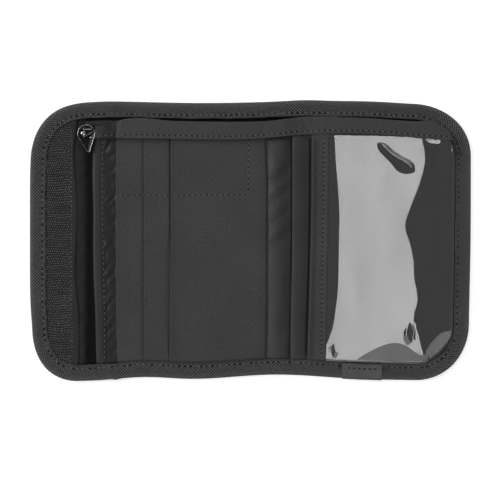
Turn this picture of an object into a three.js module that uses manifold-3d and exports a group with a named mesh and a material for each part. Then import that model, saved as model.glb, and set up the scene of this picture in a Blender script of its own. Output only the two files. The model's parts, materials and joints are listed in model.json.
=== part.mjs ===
// Trifold travel wallet, lying open and face up. Millimetres, +Z up, X along the long side.
// Three panels: a narrow flap on the left, a centre panel with card slots, and a right panel with a
// passport pocket and a clear window. The right panel folds over the centre, then the flap folds over both.
// The sheets are sewn into a folded binding tape all round, so each one is pinched at the edge and rises
// to its own level in the field. A sheet that crosses a fold is split there, one half for each panel.
import * as THREE from "three";
import { mergeVertices } from "three/addons/utils/BufferGeometryUtils.js";
import Module from "manifold-3d";

const wasm = await Module();
wasm.setup();

// Driving dimensions
const OPEN_WIDTH = 243;
const OPEN_HEIGHT = 154.2;
const CORNER_RADIUS = 30;
const CORNER_STEPS = 6;
const BINDING_WIDTH = 8;
const BINDING_THICKNESS = 0.6;
const BINDING_HEIGHT = 3.2;
const BINDING_ROUND = 0.35;
const BINDING_FOLD = 0.7;
const PANEL_EDGE = 0.9;
const RAMP_START = BINDING_WIDTH + 0.3;
const RAMP_END = RAMP_START + 3;

// Fold lines, along Y. A sheet that crosses one stops short of it by FOLD_GAP on each side
const LEFT_FOLD_X = -91;
const RIGHT_FOLD_X = 15;
const FOLD_GAP = 0.25;

// Levels: bottom of each sheet where it is pinched in the binding and in the field, and its thickness
const SHELL = { edge: 0.62, field: 1.0, thickness: 0.45 };
const LINING = { edge: 1.1, field: 1.5, thickness: 0.2 };
const DIVIDER = { edge: 1.33, field: 1.85, thickness: 0.2 };
const POUCH = { edge: 1.56, field: 2.85, thickness: 0.2 };
const FIRST_POCKET = { edge: 1.79, field: 3.4, thickness: 0.2 };
const SECOND_POCKET = { edge: 2.02, field: 3.75, thickness: 0.2 };
const THIRD_POCKET = { edge: 2.25, field: 4.1, thickness: 0.2 };

// Zip
const ZIP_Y = 61.4;
const ZIP_Z = 3.25;
const ZIP_START = LEFT_FOLD_X + FOLD_GAP;
const ZIP_END = 102;
const COIL_HALF_HEIGHT = 0.45;
const COIL_INNER = 0.45;
const COIL_OUTER = 2.3;
const TAPE_INNER = COIL_OUTER + 0.03;
const TAPE_LOWER_OUTER = 5.7;
const TAPE_UPPER_OUTER = 5;
const TAPE_THICKNESS = 0.2;
const SLIDER_X = -89.4;
const SLIDER_LENGTH = 7.6;
const SLIDER_HALF_WIDTH = 2.9;
const SLIDER_PLATE = 0.4;
const SLIDER_CHANNEL = 0.55;
const CROWN_AXIS_Z = 5.05;
const PULLER_LENGTH = 13;

// Zip cover strip, a flat band standing over the zip on a short wall along its upper edge
const COVER_LEFT = -85.3;
const COVER_BOTTOM = 56.1;
const COVER_TOP = 67.2;
const COVER_CENTRE_Z = 5.9;
const COVER_RIGHT_Z = 4.35;
const COVER_THICKNESS = 0.2;
const COVER_WALL = 0.6;
const COVER_WALL_RIGHT = 5.5;

// Pockets
const POUCH_LEFT = -85.5;
const POUCH_TOP = 58.3;
const POCKET_TOP = 57.5;
const DIVIDER_TOP = 67;
const CARD_MOUTHS = [-73.4, -58.2, -43.3];
const CARD_SEAM = 9.3;
const PASSPORT_MOUTH = 23.4;
const WINDOW_MOUTH = 33.9;
const FRAME_STRIP_WIDTH = 9.1;
const FILM_LEFT = 38;

// Touch fastener
const HOOK_RIGHT = -96.5;
const HOOK_Z = 1.75;
const HOOK_THICKNESS = 1.5;
const LOOP_LEFT = 94;
const LOOP_RIGHT = 110;
const LOOP_HALF_HEIGHT = 50;
const LOOP_THICKNESS = 0.95;

// Webbing tab folded round the lower binding
const TAB_LEFT = 50.7;
const TAB_WIDTH = 22;
const TAB_DEPTH = BINDING_WIDTH + 0.2;
const TAB_WRAP = 0.4;
const TAB_UNDER = 0.27;
const TAB_RECESS = 0.3;
const TAB_LIFT = 0.05;

const FAR = 200;
const HALF_WIDTH = OPEN_WIDTH / 2;
const HALF_HEIGHT = OPEN_HEIGHT / 2;

const SHELL_CLOTH = { color: 0x222326, roughness: 0.85, metalness: 0 };
const LINING_CLOTH = { color: 0x34353a, roughness: 0.75, metalness: 0 };
const TAPE_CLOTH = { color: 0x2b2c2f, roughness: 0.9, metalness: 0 };
const HOOK_PLASTIC = { color: 0x1d1e20, roughness: 0.6, metalness: 0 };
const COIL_PLASTIC = { color: 0x151618, roughness: 0.45, metalness: 0 };
const CLEAR_FILM = { color: 0xb9bcc0, roughness: 0.12, metalness: 0, transparent: true, opacity: 0.35 };
const GUNMETAL = { color: 0x3a3b3e, roughness: 0.3, metalness: 0.9 };

// Solids ----------------------------------------------------------------------------------------

function solidOf(geometry) {
  geometry.deleteAttribute("normal");
  geometry.deleteAttribute("uv");
  const merged = mergeVertices(geometry, 1e-4);
  return new wasm.Manifold(
    new wasm.Mesh({
      numProp: 3,
      vertProperties: new Float32Array(merged.attributes.position.array),
      triVerts: new Uint32Array(merged.index.array),
    }),
  );
}

function block(x0, x1, y0, y1, z0, z1) {
  const geometry = new THREE.BoxGeometry(x1 - x0, y1 - y0, z1 - z0);
  geometry.translate((x0 + x1) / 2, (y0 + y1) / 2, (z0 + z1) / 2);
  return solidOf(geometry);
}

// The wallet's rounded outline, moved inwards by inset, counterclockwise seen from above.
function outline(inset) {
  const radius = CORNER_RADIUS - inset;
  const centreX = HALF_WIDTH - CORNER_RADIUS;
  const centreY = HALF_HEIGHT - CORNER_RADIUS;
  const points = [];
  for (const [corner, sx, sy] of [[0, 1, 1], [1, -1, 1], [2, -1, -1], [3, 1, -1]]) {
    for (let step = 0; step <= CORNER_STEPS; step++) {
      const angle = ((corner + step / CORNER_STEPS) * Math.PI) / 2;
      points.push([sx * centreX + radius * Math.cos(angle), sy * centreY + radius * Math.sin(angle)]);
    }
  }
  return points;
}

// A closed surface through outlines at successive [inset, z]: an open run gets a cap at each end, and a
// closed run joins its last outline to its first. The run goes outwards at the bottom and inwards on top.
function swept(profile, closed) {
  const loops = profile.map(([inset, z]) => outline(inset).map(([x, y]) => [x, y, z]));
  const count = loops[0].length;
  const index = [];
  const runs = closed ? loops.length : loops.length - 1;
  for (let k = 0; k < runs; k++) {
    const a = k * count;
    const b = ((k + 1) % loops.length) * count;
    for (let i = 0; i < count; i++) {
      const j = (i + 1) % count;
      index.push(a + i, a + j, b + j, a + i, b + j, b + i);
    }
  }
  if (!closed) {
    const flat = loops[0].map(([x, y]) => new THREE.Vector2(x, y));
    const top = (loops.length - 1) * count;
    for (const [i, j, k] of THREE.ShapeUtils.triangulateShape(flat, [])) {
      index.push(i, k, j, top + i, top + j, top + k);
    }
  }
  const geometry = new THREE.BufferGeometry();
  geometry.setAttribute("position", new THREE.Float32BufferAttribute(loops.flat(2), 3));
  geometry.setIndex(index);
  return solidOf(geometry);
}

// A sheet over the whole wallet, pinched at its edge and raised in the field.
function wholeSheet({ edge, field, thickness }) {
  return swept([
    [RAMP_END, field],
    [RAMP_START, edge],
    [PANEL_EDGE, edge],
    [PANEL_EDGE, edge + thickness],
    [RAMP_START, edge + thickness],
    [RAMP_END, field + thickness],
  ], false);
}

// The part of a sheet inside the given sides.
function sheetPart(level, left, right, bottom = -FAR, top = FAR) {
  return wholeSheet(level).intersect(block(left, right, bottom, top, -1, FAR));
}

// A flat plate that stops short of the binding's inner edge.
function insidePlate(left, right, bottom, top, z, thickness) {
  const inside = swept([[RAMP_START, z], [RAMP_START, z + thickness]], false);
  return inside.intersect(block(left, right, bottom, top, -1, FAR));
}

function extruded(points, depth) {
  const shape = new THREE.Shape(points.map(([x, y]) => new THREE.Vector2(x, y)));
  return new THREE.ExtrudeGeometry(shape, { depth, bevelEnabled: false });
}

const wallet = new THREE.Group();

function add(name, solid, finish) {
  const cut = solid.getMesh();
  const geometry = new THREE.BufferGeometry();
  geometry.setAttribute("position", new THREE.Float32BufferAttribute(cut.vertProperties, 3));
  geometry.setIndex(Array.from(cut.triVerts));
  const mesh = new THREE.Mesh(geometry, new THREE.MeshStandardMaterial(finish));
  mesh.name = name;
  wallet.add(mesh);
}

// Panels, each as the stretch of X that it covers
const FLAP = [-FAR, LEFT_FOLD_X - FOLD_GAP];
const CENTRE = [LEFT_FOLD_X + FOLD_GAP, RIGHT_FOLD_X - FOLD_GAP];
const RIGHT = [RIGHT_FOLD_X + FOLD_GAP, FAR];

function shellAndLining() {
  for (const [name, [left, right]] of Object.entries({ left: FLAP, centre: CENTRE, right: RIGHT })) {
    add(`shell_${name}`, sheetPart(SHELL, left, right), SHELL_CLOTH);
    add(`lining_${name}`, sheetPart(LINING, left, right), LINING_CLOTH);
  }
}

// The zipped pouch: the divider is its back and the wall of the note compartment behind it.
function zippedPouch() {
  const side = block(
    POUCH_LEFT,
    POUCH_LEFT + POUCH.thickness,
    -HALF_HEIGHT + RAMP_END,
    POUCH_TOP,
    DIVIDER.field + DIVIDER.thickness + 0.03,
    POUCH.field + POUCH.thickness,
  );
  const front = sheetPart(POUCH, POUCH_LEFT, CENTRE[1], -FAR, POUCH_TOP).add(side);
  add("note_divider_centre", sheetPart(DIVIDER, POUCH_LEFT, CENTRE[1], -FAR, DIVIDER_TOP), LINING_CLOTH);
  add("note_divider_right", sheetPart(DIVIDER, ...RIGHT, -FAR, DIVIDER_TOP), LINING_CLOTH);
  add("pouch_front_centre", front, LINING_CLOTH);
  add("pouch_front_right", sheetPart(POUCH, ...RIGHT, -FAR, POUCH_TOP), LINING_CLOTH);
}

function cardSlots() {
  [FIRST_POCKET, SECOND_POCKET, THIRD_POCKET].forEach((level, i) => {
    const slot = sheetPart(level, CARD_MOUTHS[i], CARD_SEAM, -FAR, POCKET_TOP);
    add(`card_slot_${i + 1}`, slot, LINING_CLOTH);
  });
}

function rightPockets() {
  const strip = sheetPart(THIRD_POCKET, WINDOW_MOUTH, WINDOW_MOUTH + FRAME_STRIP_WIDTH, -FAR, POCKET_TOP);
  add("passport_pocket", sheetPart(FIRST_POCKET, PASSPORT_MOUTH, FAR, -FAR, POCKET_TOP), LINING_CLOTH);
  add("window_frame_strip", strip, LINING_CLOTH);
  add("window_film", sheetPart(SECOND_POCKET, FILM_LEFT, FAR, -FAR, POCKET_TOP), CLEAR_FILM);
}

// Each side of the zip has its own coil and tape. The slider's post runs between the two coils.
function zip() {
  const stretches = { centre: [ZIP_START, CENTRE[1]], right: [RIGHT[0], ZIP_END] };
  for (const [name, [left, right]] of Object.entries(stretches)) {
    for (const [side, sign, tapeOuter] of [["lower", -1, TAPE_LOWER_OUTER], ["upper", 1, TAPE_UPPER_OUTER]]) {
      const coil = [COIL_INNER, COIL_OUTER].map((w) => ZIP_Y + sign * w).sort((a, b) => a - b);
      const tape = [TAPE_INNER, tapeOuter].map((w) => ZIP_Y + sign * w).sort((a, b) => a - b);
      add(
        `zip_coil_${side}_${name}`,
        block(left, right, ...coil, ZIP_Z - COIL_HALF_HEIGHT, ZIP_Z + COIL_HALF_HEIGHT),
        COIL_PLASTIC,
      );
      add(
        `zip_tape_${side}_${name}`,
        insidePlate(left, right, ...tape, ZIP_Z - TAPE_THICKNESS / 2, TAPE_THICKNESS),
        TAPE_CLOTH,
      );
    }
  }
  add(
    "zip_end_stop",
    block(ZIP_END + 0.1, ZIP_END + 2, ZIP_Y - 1.9, ZIP_Y + 1.9, ZIP_Z - 0.5, ZIP_Z + 0.5),
    GUNMETAL,
  );
}

function coverStrips() {
  const wallBottom = DIVIDER.field + DIVIDER.thickness + 0.05;
  const centreWall = block(
    COVER_LEFT,
    COVER_WALL_RIGHT,
    COVER_TOP - COVER_WALL,
    COVER_TOP,
    wallBottom,
    COVER_CENTRE_Z + COVER_THICKNESS,
  );
  const rightWall = insidePlate(
    ...RIGHT,
    COVER_TOP - COVER_WALL,
    COVER_TOP,
    wallBottom,
    COVER_RIGHT_Z + COVER_THICKNESS - wallBottom,
  );
  const centre = insidePlate(
    COVER_LEFT,
    CENTRE[1],
    COVER_BOTTOM,
    COVER_TOP,
    COVER_CENTRE_Z,
    COVER_THICKNESS,
  ).add(centreWall);
  const right = insidePlate(...RIGHT, COVER_BOTTOM, COVER_TOP, COVER_RIGHT_Z, COVER_THICKNESS).add(rightWall);
  add("zip_cover_strip_centre", centre, LINING_CLOTH);
  add("zip_cover_strip_right", right, LINING_CLOTH);
}

// Folded tape all round. Its lower leg is shaved where the webbing tab passes under it.
function binding() {
  const top = BINDING_HEIGHT - BINDING_THICKNESS;
  const whole = swept([
    [BINDING_WIDTH, 0],
    [BINDING_ROUND, 0],
    [0, BINDING_ROUND],
    [0, BINDING_HEIGHT - BINDING_ROUND],
    [BINDING_ROUND, BINDING_HEIGHT],
    [BINDING_WIDTH, BINDING_HEIGHT],
    [BINDING_WIDTH, top],
    [BINDING_FOLD, top],
    [BINDING_FOLD, BINDING_THICKNESS],
    [BINDING_WIDTH, BINDING_THICKNESS],
  ], true);
  const recess = block(
    TAB_LEFT - TAB_RECESS,
    TAB_LEFT + TAB_WIDTH + TAB_RECESS,
    -FAR,
    0,
    -1,
    TAB_RECESS,
  );
  const piece = ([left, right], bottom, above) => whole.intersect(block(left, right, bottom, above, -1, FAR));
  add("binding_left", piece(FLAP, -FAR, FAR), TAPE_CLOTH);
  add("binding_top_centre", piece(CENTRE, 0, FAR), TAPE_CLOTH);
  add("binding_bottom_centre", piece(CENTRE, -FAR, 0), TAPE_CLOTH);
  add("binding_right", piece(RIGHT, -FAR, FAR).subtract(recess), TAPE_CLOTH);
}

function touchFastener() {
  const hooks = insidePlate(-FAR, HOOK_RIGHT, -FAR, FAR, HOOK_Z, HOOK_THICKNESS);
  const loops = block(LOOP_LEFT, LOOP_RIGHT, -LOOP_HALF_HEIGHT, LOOP_HALF_HEIGHT, 0, LOOP_THICKNESS);
  add("hook_strip", hooks, HOOK_PLASTIC);
  add("loop_patch", loops, TAPE_CLOTH);
}

// Webbing folded over the binding's outer edge, its profile drawn in the YZ plane.
function attachmentTab() {
  const inner = -HALF_HEIGHT + TAB_DEPTH;
  const outer = -HALF_HEIGHT - TAB_WRAP;
  const fold = -HALF_HEIGHT - TAB_LIFT;
  const under = BINDING_HEIGHT + TAB_LIFT;
  const geometry = extruded([
    [inner, 0],
    [inner, TAB_UNDER],
    [fold, TAB_UNDER],
    [fold, under],
    [inner, under],
    [inner, under + TAB_WRAP],
    [outer + TAB_WRAP, under + TAB_WRAP],
    [outer, under],
    [outer, 0],
  ], TAB_WIDTH);
  geometry.applyMatrix4(new THREE.Matrix4().makeBasis(
    new THREE.Vector3(0, 1, 0),
    new THREE.Vector3(0, 0, 1),
    new THREE.Vector3(1, 0, 0),
  ));
  geometry.translate(TAB_LEFT, 0, 0);
  add("attachment_tab", solidOf(geometry), TAPE_CLOTH);
}

// Slider: two plates with low side walls, open at the sides for the tapes and joined by the post at the
// left end that parts the coils.
function sliderBody() {
  const left = SLIDER_X - SLIDER_LENGTH / 2;
  const right = left + SLIDER_LENGTH;
  const nose = 1.6;
  const wall = 0.5;
  const wallHeight = 0.32;
  const sink = 0.1;
  const inner = SLIDER_CHANNEL;
  const plate = (z) => {
    const w = SLIDER_HALF_WIDTH;
    const geometry = extruded([
      [left, -w + nose / 2],
      [left + nose, -w],
      [right - nose / 2, -w],
      [right, -w + nose / 2],
      [right, w - nose / 2],
      [right - nose / 2, w],
      [left + nose, w],
      [left, w - nose / 2],
    ], SLIDER_PLATE);
    geometry.translate(0, ZIP_Y, z);
    return solidOf(geometry);
  };
  let body = plate(ZIP_Z + inner).add(plate(ZIP_Z - inner - SLIDER_PLATE));
  // A block measured from the zip's centre line and mid-height
  const piece = (x0, x1, y0, y1, z0, z1) => block(x0, x1, ZIP_Y + y0, ZIP_Y + y1, ZIP_Z + z0, ZIP_Z + z1);
  const sides = [
    [-SLIDER_HALF_WIDTH, -SLIDER_HALF_WIDTH + wall],
    [SLIDER_HALF_WIDTH - wall, SLIDER_HALF_WIDTH],
  ];
  for (const [y0, y1] of sides) {
    body = body.add(piece(left + nose, right - nose / 2, y0, y1, inner - wallHeight, inner + sink));
    body = body.add(piece(left + nose, right - nose / 2, y0, y1, -inner - sink, -inner + wallHeight));
  }
  const post = piece(left + 0.2, left + 1.8, -0.35, 0.35, -inner - sink, inner + sink);
  add("zip_slider_body", body.add(post), GUNMETAL);
}

// Arched bar over the slider, which the puller hangs from.
function sliderCrown() {
  const halfLength = 3.2;
  const halfOpening = 2.5;
  const halfDepth = 0.25;
  const barHalf = 0.2;
  const foot = ZIP_Z + SLIDER_CHANNEL + SLIDER_PLATE + 0.02;
  const geometry = extruded([
    [-halfLength, foot],
    [-halfOpening, foot],
    [-halfOpening, CROWN_AXIS_Z - barHalf],
    [halfOpening, CROWN_AXIS_Z - barHalf],
    [halfOpening, foot],
    [halfLength, foot],
    [halfLength, CROWN_AXIS_Z + barHalf],
    [-halfLength, CROWN_AXIS_Z + barHalf],
  ], 2 * halfDepth);
  geometry.rotateX(Math.PI / 2);
  geometry.translate(SLIDER_X, ZIP_Y + halfDepth, 0);
  add("zip_slider_crown", solidOf(geometry), GUNMETAL);
}

// Drop-shaped puller, broad at the crown and narrow at its tip, on an eye that goes round the crown's bar.
function puller() {
  const eyeInner = 0.42;
  const eyeOuter = 0.7;
  const eyeLength = 3.4;
  const eyeSteps = 12;
  const plateHalf = 0.3;
  const neck = 0.6;
  const broad = { radius: 3.8, y: -3.6 };
  const tip = { radius: 1, y: 1 - PULLER_LENGTH };
  const circle = (r) => Array.from({ length: eyeSteps }, (_, i) => {
    const angle = (2 * Math.PI * i) / eyeSteps;
    return new THREE.Vector2(r * Math.cos(angle), r * Math.sin(angle));
  });
  const ring = new THREE.Shape(circle(eyeOuter));
  ring.holes.push(new THREE.Path(circle(eyeInner)));
  const eye = new THREE.ExtrudeGeometry(ring, { depth: eyeLength, bevelEnabled: false });
  eye.rotateY(Math.PI / 2);
  eye.translate(SLIDER_X - eyeLength / 2, ZIP_Y, CROWN_AXIS_Z);
  // The straight sides touch both round ends where their outward normal has this downward slant
  const slant = Math.asin((broad.radius - tip.radius) / (broad.y - tip.y));
  const shoulder = Math.acos(eyeLength / 2 / broad.radius) * 0.8;
  const half = [[eyeLength / 2, -neck]];
  for (const [end, from, to] of [[broad, shoulder, -slant], [tip, -slant, -Math.PI / 2]]) {
    for (let i = 0; i <= 6; i++) {
      const angle = from + ((to - from) * i) / 6;
      half.push([end.radius * Math.cos(angle), end.y + end.radius * Math.sin(angle)]);
    }
  }
  const mirrored = half.slice(0, -1).reverse().map(([x, y]) => [-x, y]);
  const plate = extruded([...half, ...mirrored].reverse(), 2 * plateHalf);
  plate.translate(SLIDER_X, ZIP_Y, CROWN_AXIS_Z - plateHalf);
  add("zip_puller", solidOf(eye).add(solidOf(plate)), GUNMETAL);
}

shellAndLining();
zippedPouch();
cardSlots();
rightPockets();
zip();
coverStrips();
binding();
touchFastener();
attachmentTab();
sliderBody();
sliderCrown();
puller();

// The tab stands out at the bottom edge only, so the wallet is moved to stay centred on the origin.
wallet.position.y = TAB_WRAP / 2;

export default wallet;
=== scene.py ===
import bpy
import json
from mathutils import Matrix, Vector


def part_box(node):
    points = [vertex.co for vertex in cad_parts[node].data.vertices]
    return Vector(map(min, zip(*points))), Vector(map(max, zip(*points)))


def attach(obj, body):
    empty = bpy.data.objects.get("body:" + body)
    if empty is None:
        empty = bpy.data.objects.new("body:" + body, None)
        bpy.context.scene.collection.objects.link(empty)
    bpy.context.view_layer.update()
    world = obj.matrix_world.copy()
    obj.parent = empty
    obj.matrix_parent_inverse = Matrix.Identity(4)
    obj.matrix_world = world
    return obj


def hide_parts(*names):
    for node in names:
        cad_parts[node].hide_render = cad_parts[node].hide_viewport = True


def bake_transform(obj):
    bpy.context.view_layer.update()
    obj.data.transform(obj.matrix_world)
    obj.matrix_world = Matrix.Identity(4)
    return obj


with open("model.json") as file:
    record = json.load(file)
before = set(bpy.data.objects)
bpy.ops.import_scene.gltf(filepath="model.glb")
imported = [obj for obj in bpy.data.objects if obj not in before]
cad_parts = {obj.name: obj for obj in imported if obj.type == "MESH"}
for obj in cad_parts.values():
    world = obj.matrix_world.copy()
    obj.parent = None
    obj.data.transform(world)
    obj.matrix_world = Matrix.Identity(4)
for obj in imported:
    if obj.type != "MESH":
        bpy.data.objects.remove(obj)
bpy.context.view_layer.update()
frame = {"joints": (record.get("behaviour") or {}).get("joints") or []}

# Looks of a trifold travel wallet, lying open and face up. Each cloth layer is a thin closed solid with its
# own relief, sewn down by modelled stitches. Lengths are millimetres until a mesh is made, in metres.
# The layers are shaped on an even rounded outline, and settle() then moves every soft point to the slightly
# dented outline of the real, used wallet.
import json
import math

import bpy
import numpy as np
from mathutils import Vector

MM = 0.001
rng = np.random.default_rng(7)


def node_box(name):
    low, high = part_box(name)
    return np.array(low) / MM, np.array(high) / MM


# Places and sizes from the frame -----------------------------------------------------------------------

HALF_WIDTH = node_box("binding_right")[1][0]
BOTTOM, TOP = node_box("binding_left")[0][1], node_box("binding_left")[1][1]
HALF_HEIGHT = (TOP - BOTTOM) / 2
MID_Y = (TOP + BOTTOM) / 2
BINDING_TOP = node_box("binding_left")[1][2]
FOLDS = {joint["name"]: joint["pos_m"][0] / MM for joint in frame["joints"]}
RIGHT_FOLD = FOLDS["right_panel_fold"]
SLOT_MOUTHS = [node_box(f"card_slot_{i}")[0][0] - 0.3 for i in (1, 2, 3)]
SLOT_SEAM = node_box("card_slot_1")[1][0] - 0.4
PASSPORT_MOUTH = node_box("passport_pocket")[0][0]
STRIP_LEFT = node_box("window_frame_strip")[0][0]
FILM_LEFT = node_box("window_film")[0][0]
POCKET_TOP = node_box("passport_pocket")[1][1]
POUCH_LEFT = node_box("pouch_front_centre")[0][0]
COVER_LOW, COVER_HIGH = node_box("zip_cover_strip_centre")
COVER_RIGHT_Z = node_box("zip_cover_strip_right")[1][2] - 0.1
HOOK_LOW, HOOK_HIGH = node_box("hook_strip")
LOOP_LOW, LOOP_HIGH = node_box("loop_patch")
TAB_LOW, TAB_HIGH = node_box("attachment_tab")
COIL_LOW, COIL_HIGH = node_box("zip_coil_lower_centre")
COIL_END = node_box("zip_coil_lower_right")[1][0]
BODY_LOW, BODY_HIGH = node_box("zip_slider_body")
CROWN_LOW, CROWN_HIGH = node_box("zip_slider_crown")
ZIP_Y = (BODY_LOW[1] + BODY_HIGH[1]) / 2
ZIP_Z = (COIL_LOW[2] + COIL_HIGH[2]) / 2

# Corner radii by (left or right, lower or upper)
RADII = {(-1, 1): 32, (1, 1): 30.5, (1, -1): 30.5, (-1, -1): 26}
BINDING_WIDTH = 8.8
STITCH_INSET = 6.9
STITCH_PITCH = 3.05
TUCK = 3.0
LAP_X = -74.2
SPLIT_X = -38.0
SHEET = 0.2
FIELD_INSET = 8.5
# Steps beside a pocket's mouth, over the pocket and before it, that keep its edge sharp
AFTER_MOUTH = (0, 0.05, 0.12, 0.22, 0.4, 0.65, 1.0, 1.5, 2.1)
BEFORE_MOUTH = (0.12, 0.3, 0.6, 1.0, 1.5, 2.1)
# Dents and swells of the used wallet's edges: (place along the edge, how far it moves, spread)
TOP_DENTS = [(-25, -1.2, 30), (30, 0.6, 9), (100, -1.9, 18), (-95, -0.9, 8)]
LOW_DENTS = [(15, 3.6, 27), (-58, 2.2, 15), (80, 0.55, 25)]
LEFT_DENTS = [(-56, 1.5, 12), (52, 0.5, 8)]
RIGHT_DENTS = [(-55, -1.1, 28)]

# Middle height of each cloth layer where it is pinched in the binding, and in the field
SHELL = (0.85, node_box("shell_centre")[1][2] - 0.22)
LINING = (1.2, node_box("lining_centre")[1][2] - 0.1)
DIVIDER = (1.43, node_box("note_divider_centre")[1][2] - 0.1)
POUCH = (1.66, node_box("pouch_front_centre")[1][2] - 0.1)
FIRST = (1.89, node_box("card_slot_1")[1][2] - 0.1)
SECOND = (2.12, node_box("card_slot_2")[1][2] - 0.1)
THIRD = (2.35, node_box("card_slot_3")[1][2] - 0.1)


# Shape functions ---------------------------------------------------------------------------------------


def smooth(t):
    t = np.clip(t, 0, 1)
    return t * t * (3 - 2 * t)


def bell(distance, spread):
    return np.exp(-((distance / spread) ** 2) / 2)


def bells(at, places):
    """A sum of bells, each given as (place, height, spread)."""
    return sum(height * bell(at - place, spread) for place, height, spread in places)


def unit(vectors):
    """Each vector at length 1."""
    return vectors / np.maximum(np.linalg.norm(vectors, axis=-1, keepdims=True), 1e-9)


def travel(points):
    """Distance travelled along a line up to each of its points."""
    return np.concatenate([[0], np.cumsum(np.linalg.norm(np.diff(points, axis=0), axis=1))])


def curve(at, points):
    """A smooth curve through a few (position, value) points."""
    px, pv = np.array(points, float).T
    slope = np.gradient(pv, px)
    i = np.clip(np.searchsorted(px, at) - 1, 0, len(px) - 2)
    h = px[i + 1] - px[i]
    t = np.clip((at - px[i]) / h, 0, 1)
    a, b = (1 - t) ** 2 * (1 + 2 * t), t * (1 - t) ** 2 * h
    c, d = t * t * (3 - 2 * t), t * t * (t - 1) * h
    return a * pv[i] + b * slope[i] + c * pv[i + 1] + d * slope[i + 1]


def crease(x, y, start, stop, depth, width):
    """A valley from start to stop, with a soft ridge along its left side, both fading at the ends."""
    run = np.array(stop, float) - start
    length = math.hypot(*run)
    ux, uy = run / length
    along = (x - start[0]) * ux + (y - start[1]) * uy
    off = (y - start[1]) * ux - (x - start[0]) * uy
    window = smooth(along / (0.35 * length)) * smooth((length - along) / (0.35 * length))
    return window * depth * (0.8 * bell(off - 2.2 * width, 1.3 * width) - bell(off, width))


def creases(x, y, places):
    return sum(crease(x, y, *place) for place in places)


def ripple(x, y, size, seed, stretch=1.0, turn=0.0):
    """Soft random waves from -1 to 1, about size across, longer along the turned Y by stretch."""
    local = np.random.default_rng(seed)
    c, s = math.cos(turn), math.sin(turn)
    u, v = (x * c + y * s) / size, (y * c - x * s) / (size * stretch)
    total = 0
    for _ in range(7):
        angle, phase = local.uniform(0, 2 * math.pi, 2)
        rate = local.uniform(0.6, 1.6) * math.pi
        total = total + np.sin(rate * (u * math.cos(angle) + v * math.sin(angle)) * 1.4 + phase)
    return total / 3.5


def inset_of(x, y):
    """How far a point lies inside the wallet's even outline."""
    r = np.where(
        x < 0,
        np.where(y > MID_Y, RADII[-1, 1], RADII[-1, -1]),
        np.where(y > MID_Y, RADII[1, 1], RADII[1, -1]),
    )
    qx = np.abs(x) - HALF_WIDTH + r
    qy = np.abs(y - MID_Y) - HALF_HEIGHT + r
    return r - np.hypot(np.maximum(qx, 0), np.maximum(qy, 0)) - np.minimum(np.maximum(qx, qy), 0)


def edge_y(x, inset, side):
    """Where the outline, moved inwards by inset, crosses the column at x, below (-1) or above (1)."""
    radius = np.where(x < 0, RADII[-1, side], RADII[1, side])
    beyond = np.clip(np.abs(x) - (HALF_WIDTH - radius), 0, radius - inset)
    return MID_Y + side * (HALF_HEIGHT - radius + np.sqrt((radius - inset) ** 2 - beyond**2))


def settle(x, y):
    """Moves a point from the even outline to the slightly dented outline of the used wallet."""
    high, low, side = 40, 45, 90
    up = np.clip((y - high) / (TOP - 6 - high), 0, 1)
    down = np.clip((-y - low) / (-BOTTOM - 8 - low), 0, 1)
    out = np.clip((np.abs(x) - side) / (HALF_WIDTH - 6 - side), 0, 1)
    raised = bells(x, TOP_DENTS) * smooth(up) + (bells(x, LOW_DENTS) - 0.6) * down**1.8
    moved = np.where(x < 0, bells(y, LEFT_DENTS), bells(y, RIGHT_DENTS) + 0.45)
    return x + moved * out**1.5, y + raised


def level(x, y, layer, start=FIELD_INSET, end=9.9):
    """Height of a layer: pinched under the binding, and open in the field."""
    edge, field = layer
    return edge + (field - edge) * smooth((inset_of(x, y) - start) / (end - start))


def field_share(x, y, reach=6):
    """0 under the binding and 1 in the open field, for relief that the binding presses flat."""
    return smooth((inset_of(x, y) - FIELD_INSET) / reach)


def columns(left, right, inset, step, fine=()):
    """X of a sheet's columns: even, closer round the corners, and close beside each place in fine."""
    limit = HALF_WIDTH - inset
    start, stop = max(left, -limit), min(right, limit)
    found = list(np.linspace(start, stop, int((stop - start) / step) + 2))
    for side in (-1, 1):
        radius = RADII[side, 1] - inset
        centre = HALF_WIDTH - RADII[side, 1]
        found += [side * (centre + radius * math.sin(a)) for a in np.linspace(0, math.pi / 2, 22)]
    for x in fine:
        found += [x + d for d in AFTER_MOUTH]
        found += [x - d for d in BEFORE_MOUTH]
    closest = 0.045
    kept = [start]
    for x in sorted(found):
        if x - kept[-1] > closest and x <= stop:
            kept.append(x)
    kept[-1] = stop
    return np.array(kept)


def grid(xs, top=None, inset=TUCK, step=1.3):
    """X and Y of a sheet's points: the given columns, from the outline at inset up to it again, or to top."""
    low = edge_y(xs, inset, -1)
    high = edge_y(xs, inset, 1) if top is None else np.minimum(top, edge_y(xs, inset, 1))
    t = np.linspace(0, 1, int((high - low).max() / step) + 2)
    t = 0.55 * t + 0.45 * (0.5 - 0.5 * np.cos(math.pi * t))
    return np.repeat(xs[:, None], len(t), 1), low[:, None] + (high - low)[:, None] * t


# Meshes ------------------------------------------------------------------------------------------------


def make(name, points, faces, uv, material):
    """A piece from points in millimetres, faces, and a texture place in millimetres for each point."""
    mesh = bpy.data.meshes.new(name)
    mesh.from_pydata(np.asarray(points) * MM, [], [tuple(f) for f in faces])
    layer = mesh.uv_layers.new(name="UVMap")
    corner = np.zeros(len(mesh.loops), int)
    mesh.loops.foreach_get("vertex_index", corner)
    layer.data.foreach_set("uv", (np.asarray(uv)[corner] * MM).astype(np.float32).ravel())
    mesh.polygons.foreach_set("use_smooth", np.ones(len(mesh.polygons), bool))
    mesh.materials.append(material)
    mesh.validate()
    piece = bpy.data.objects.new(name, mesh)
    bpy.context.scene.collection.objects.link(piece)
    return piece


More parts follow.
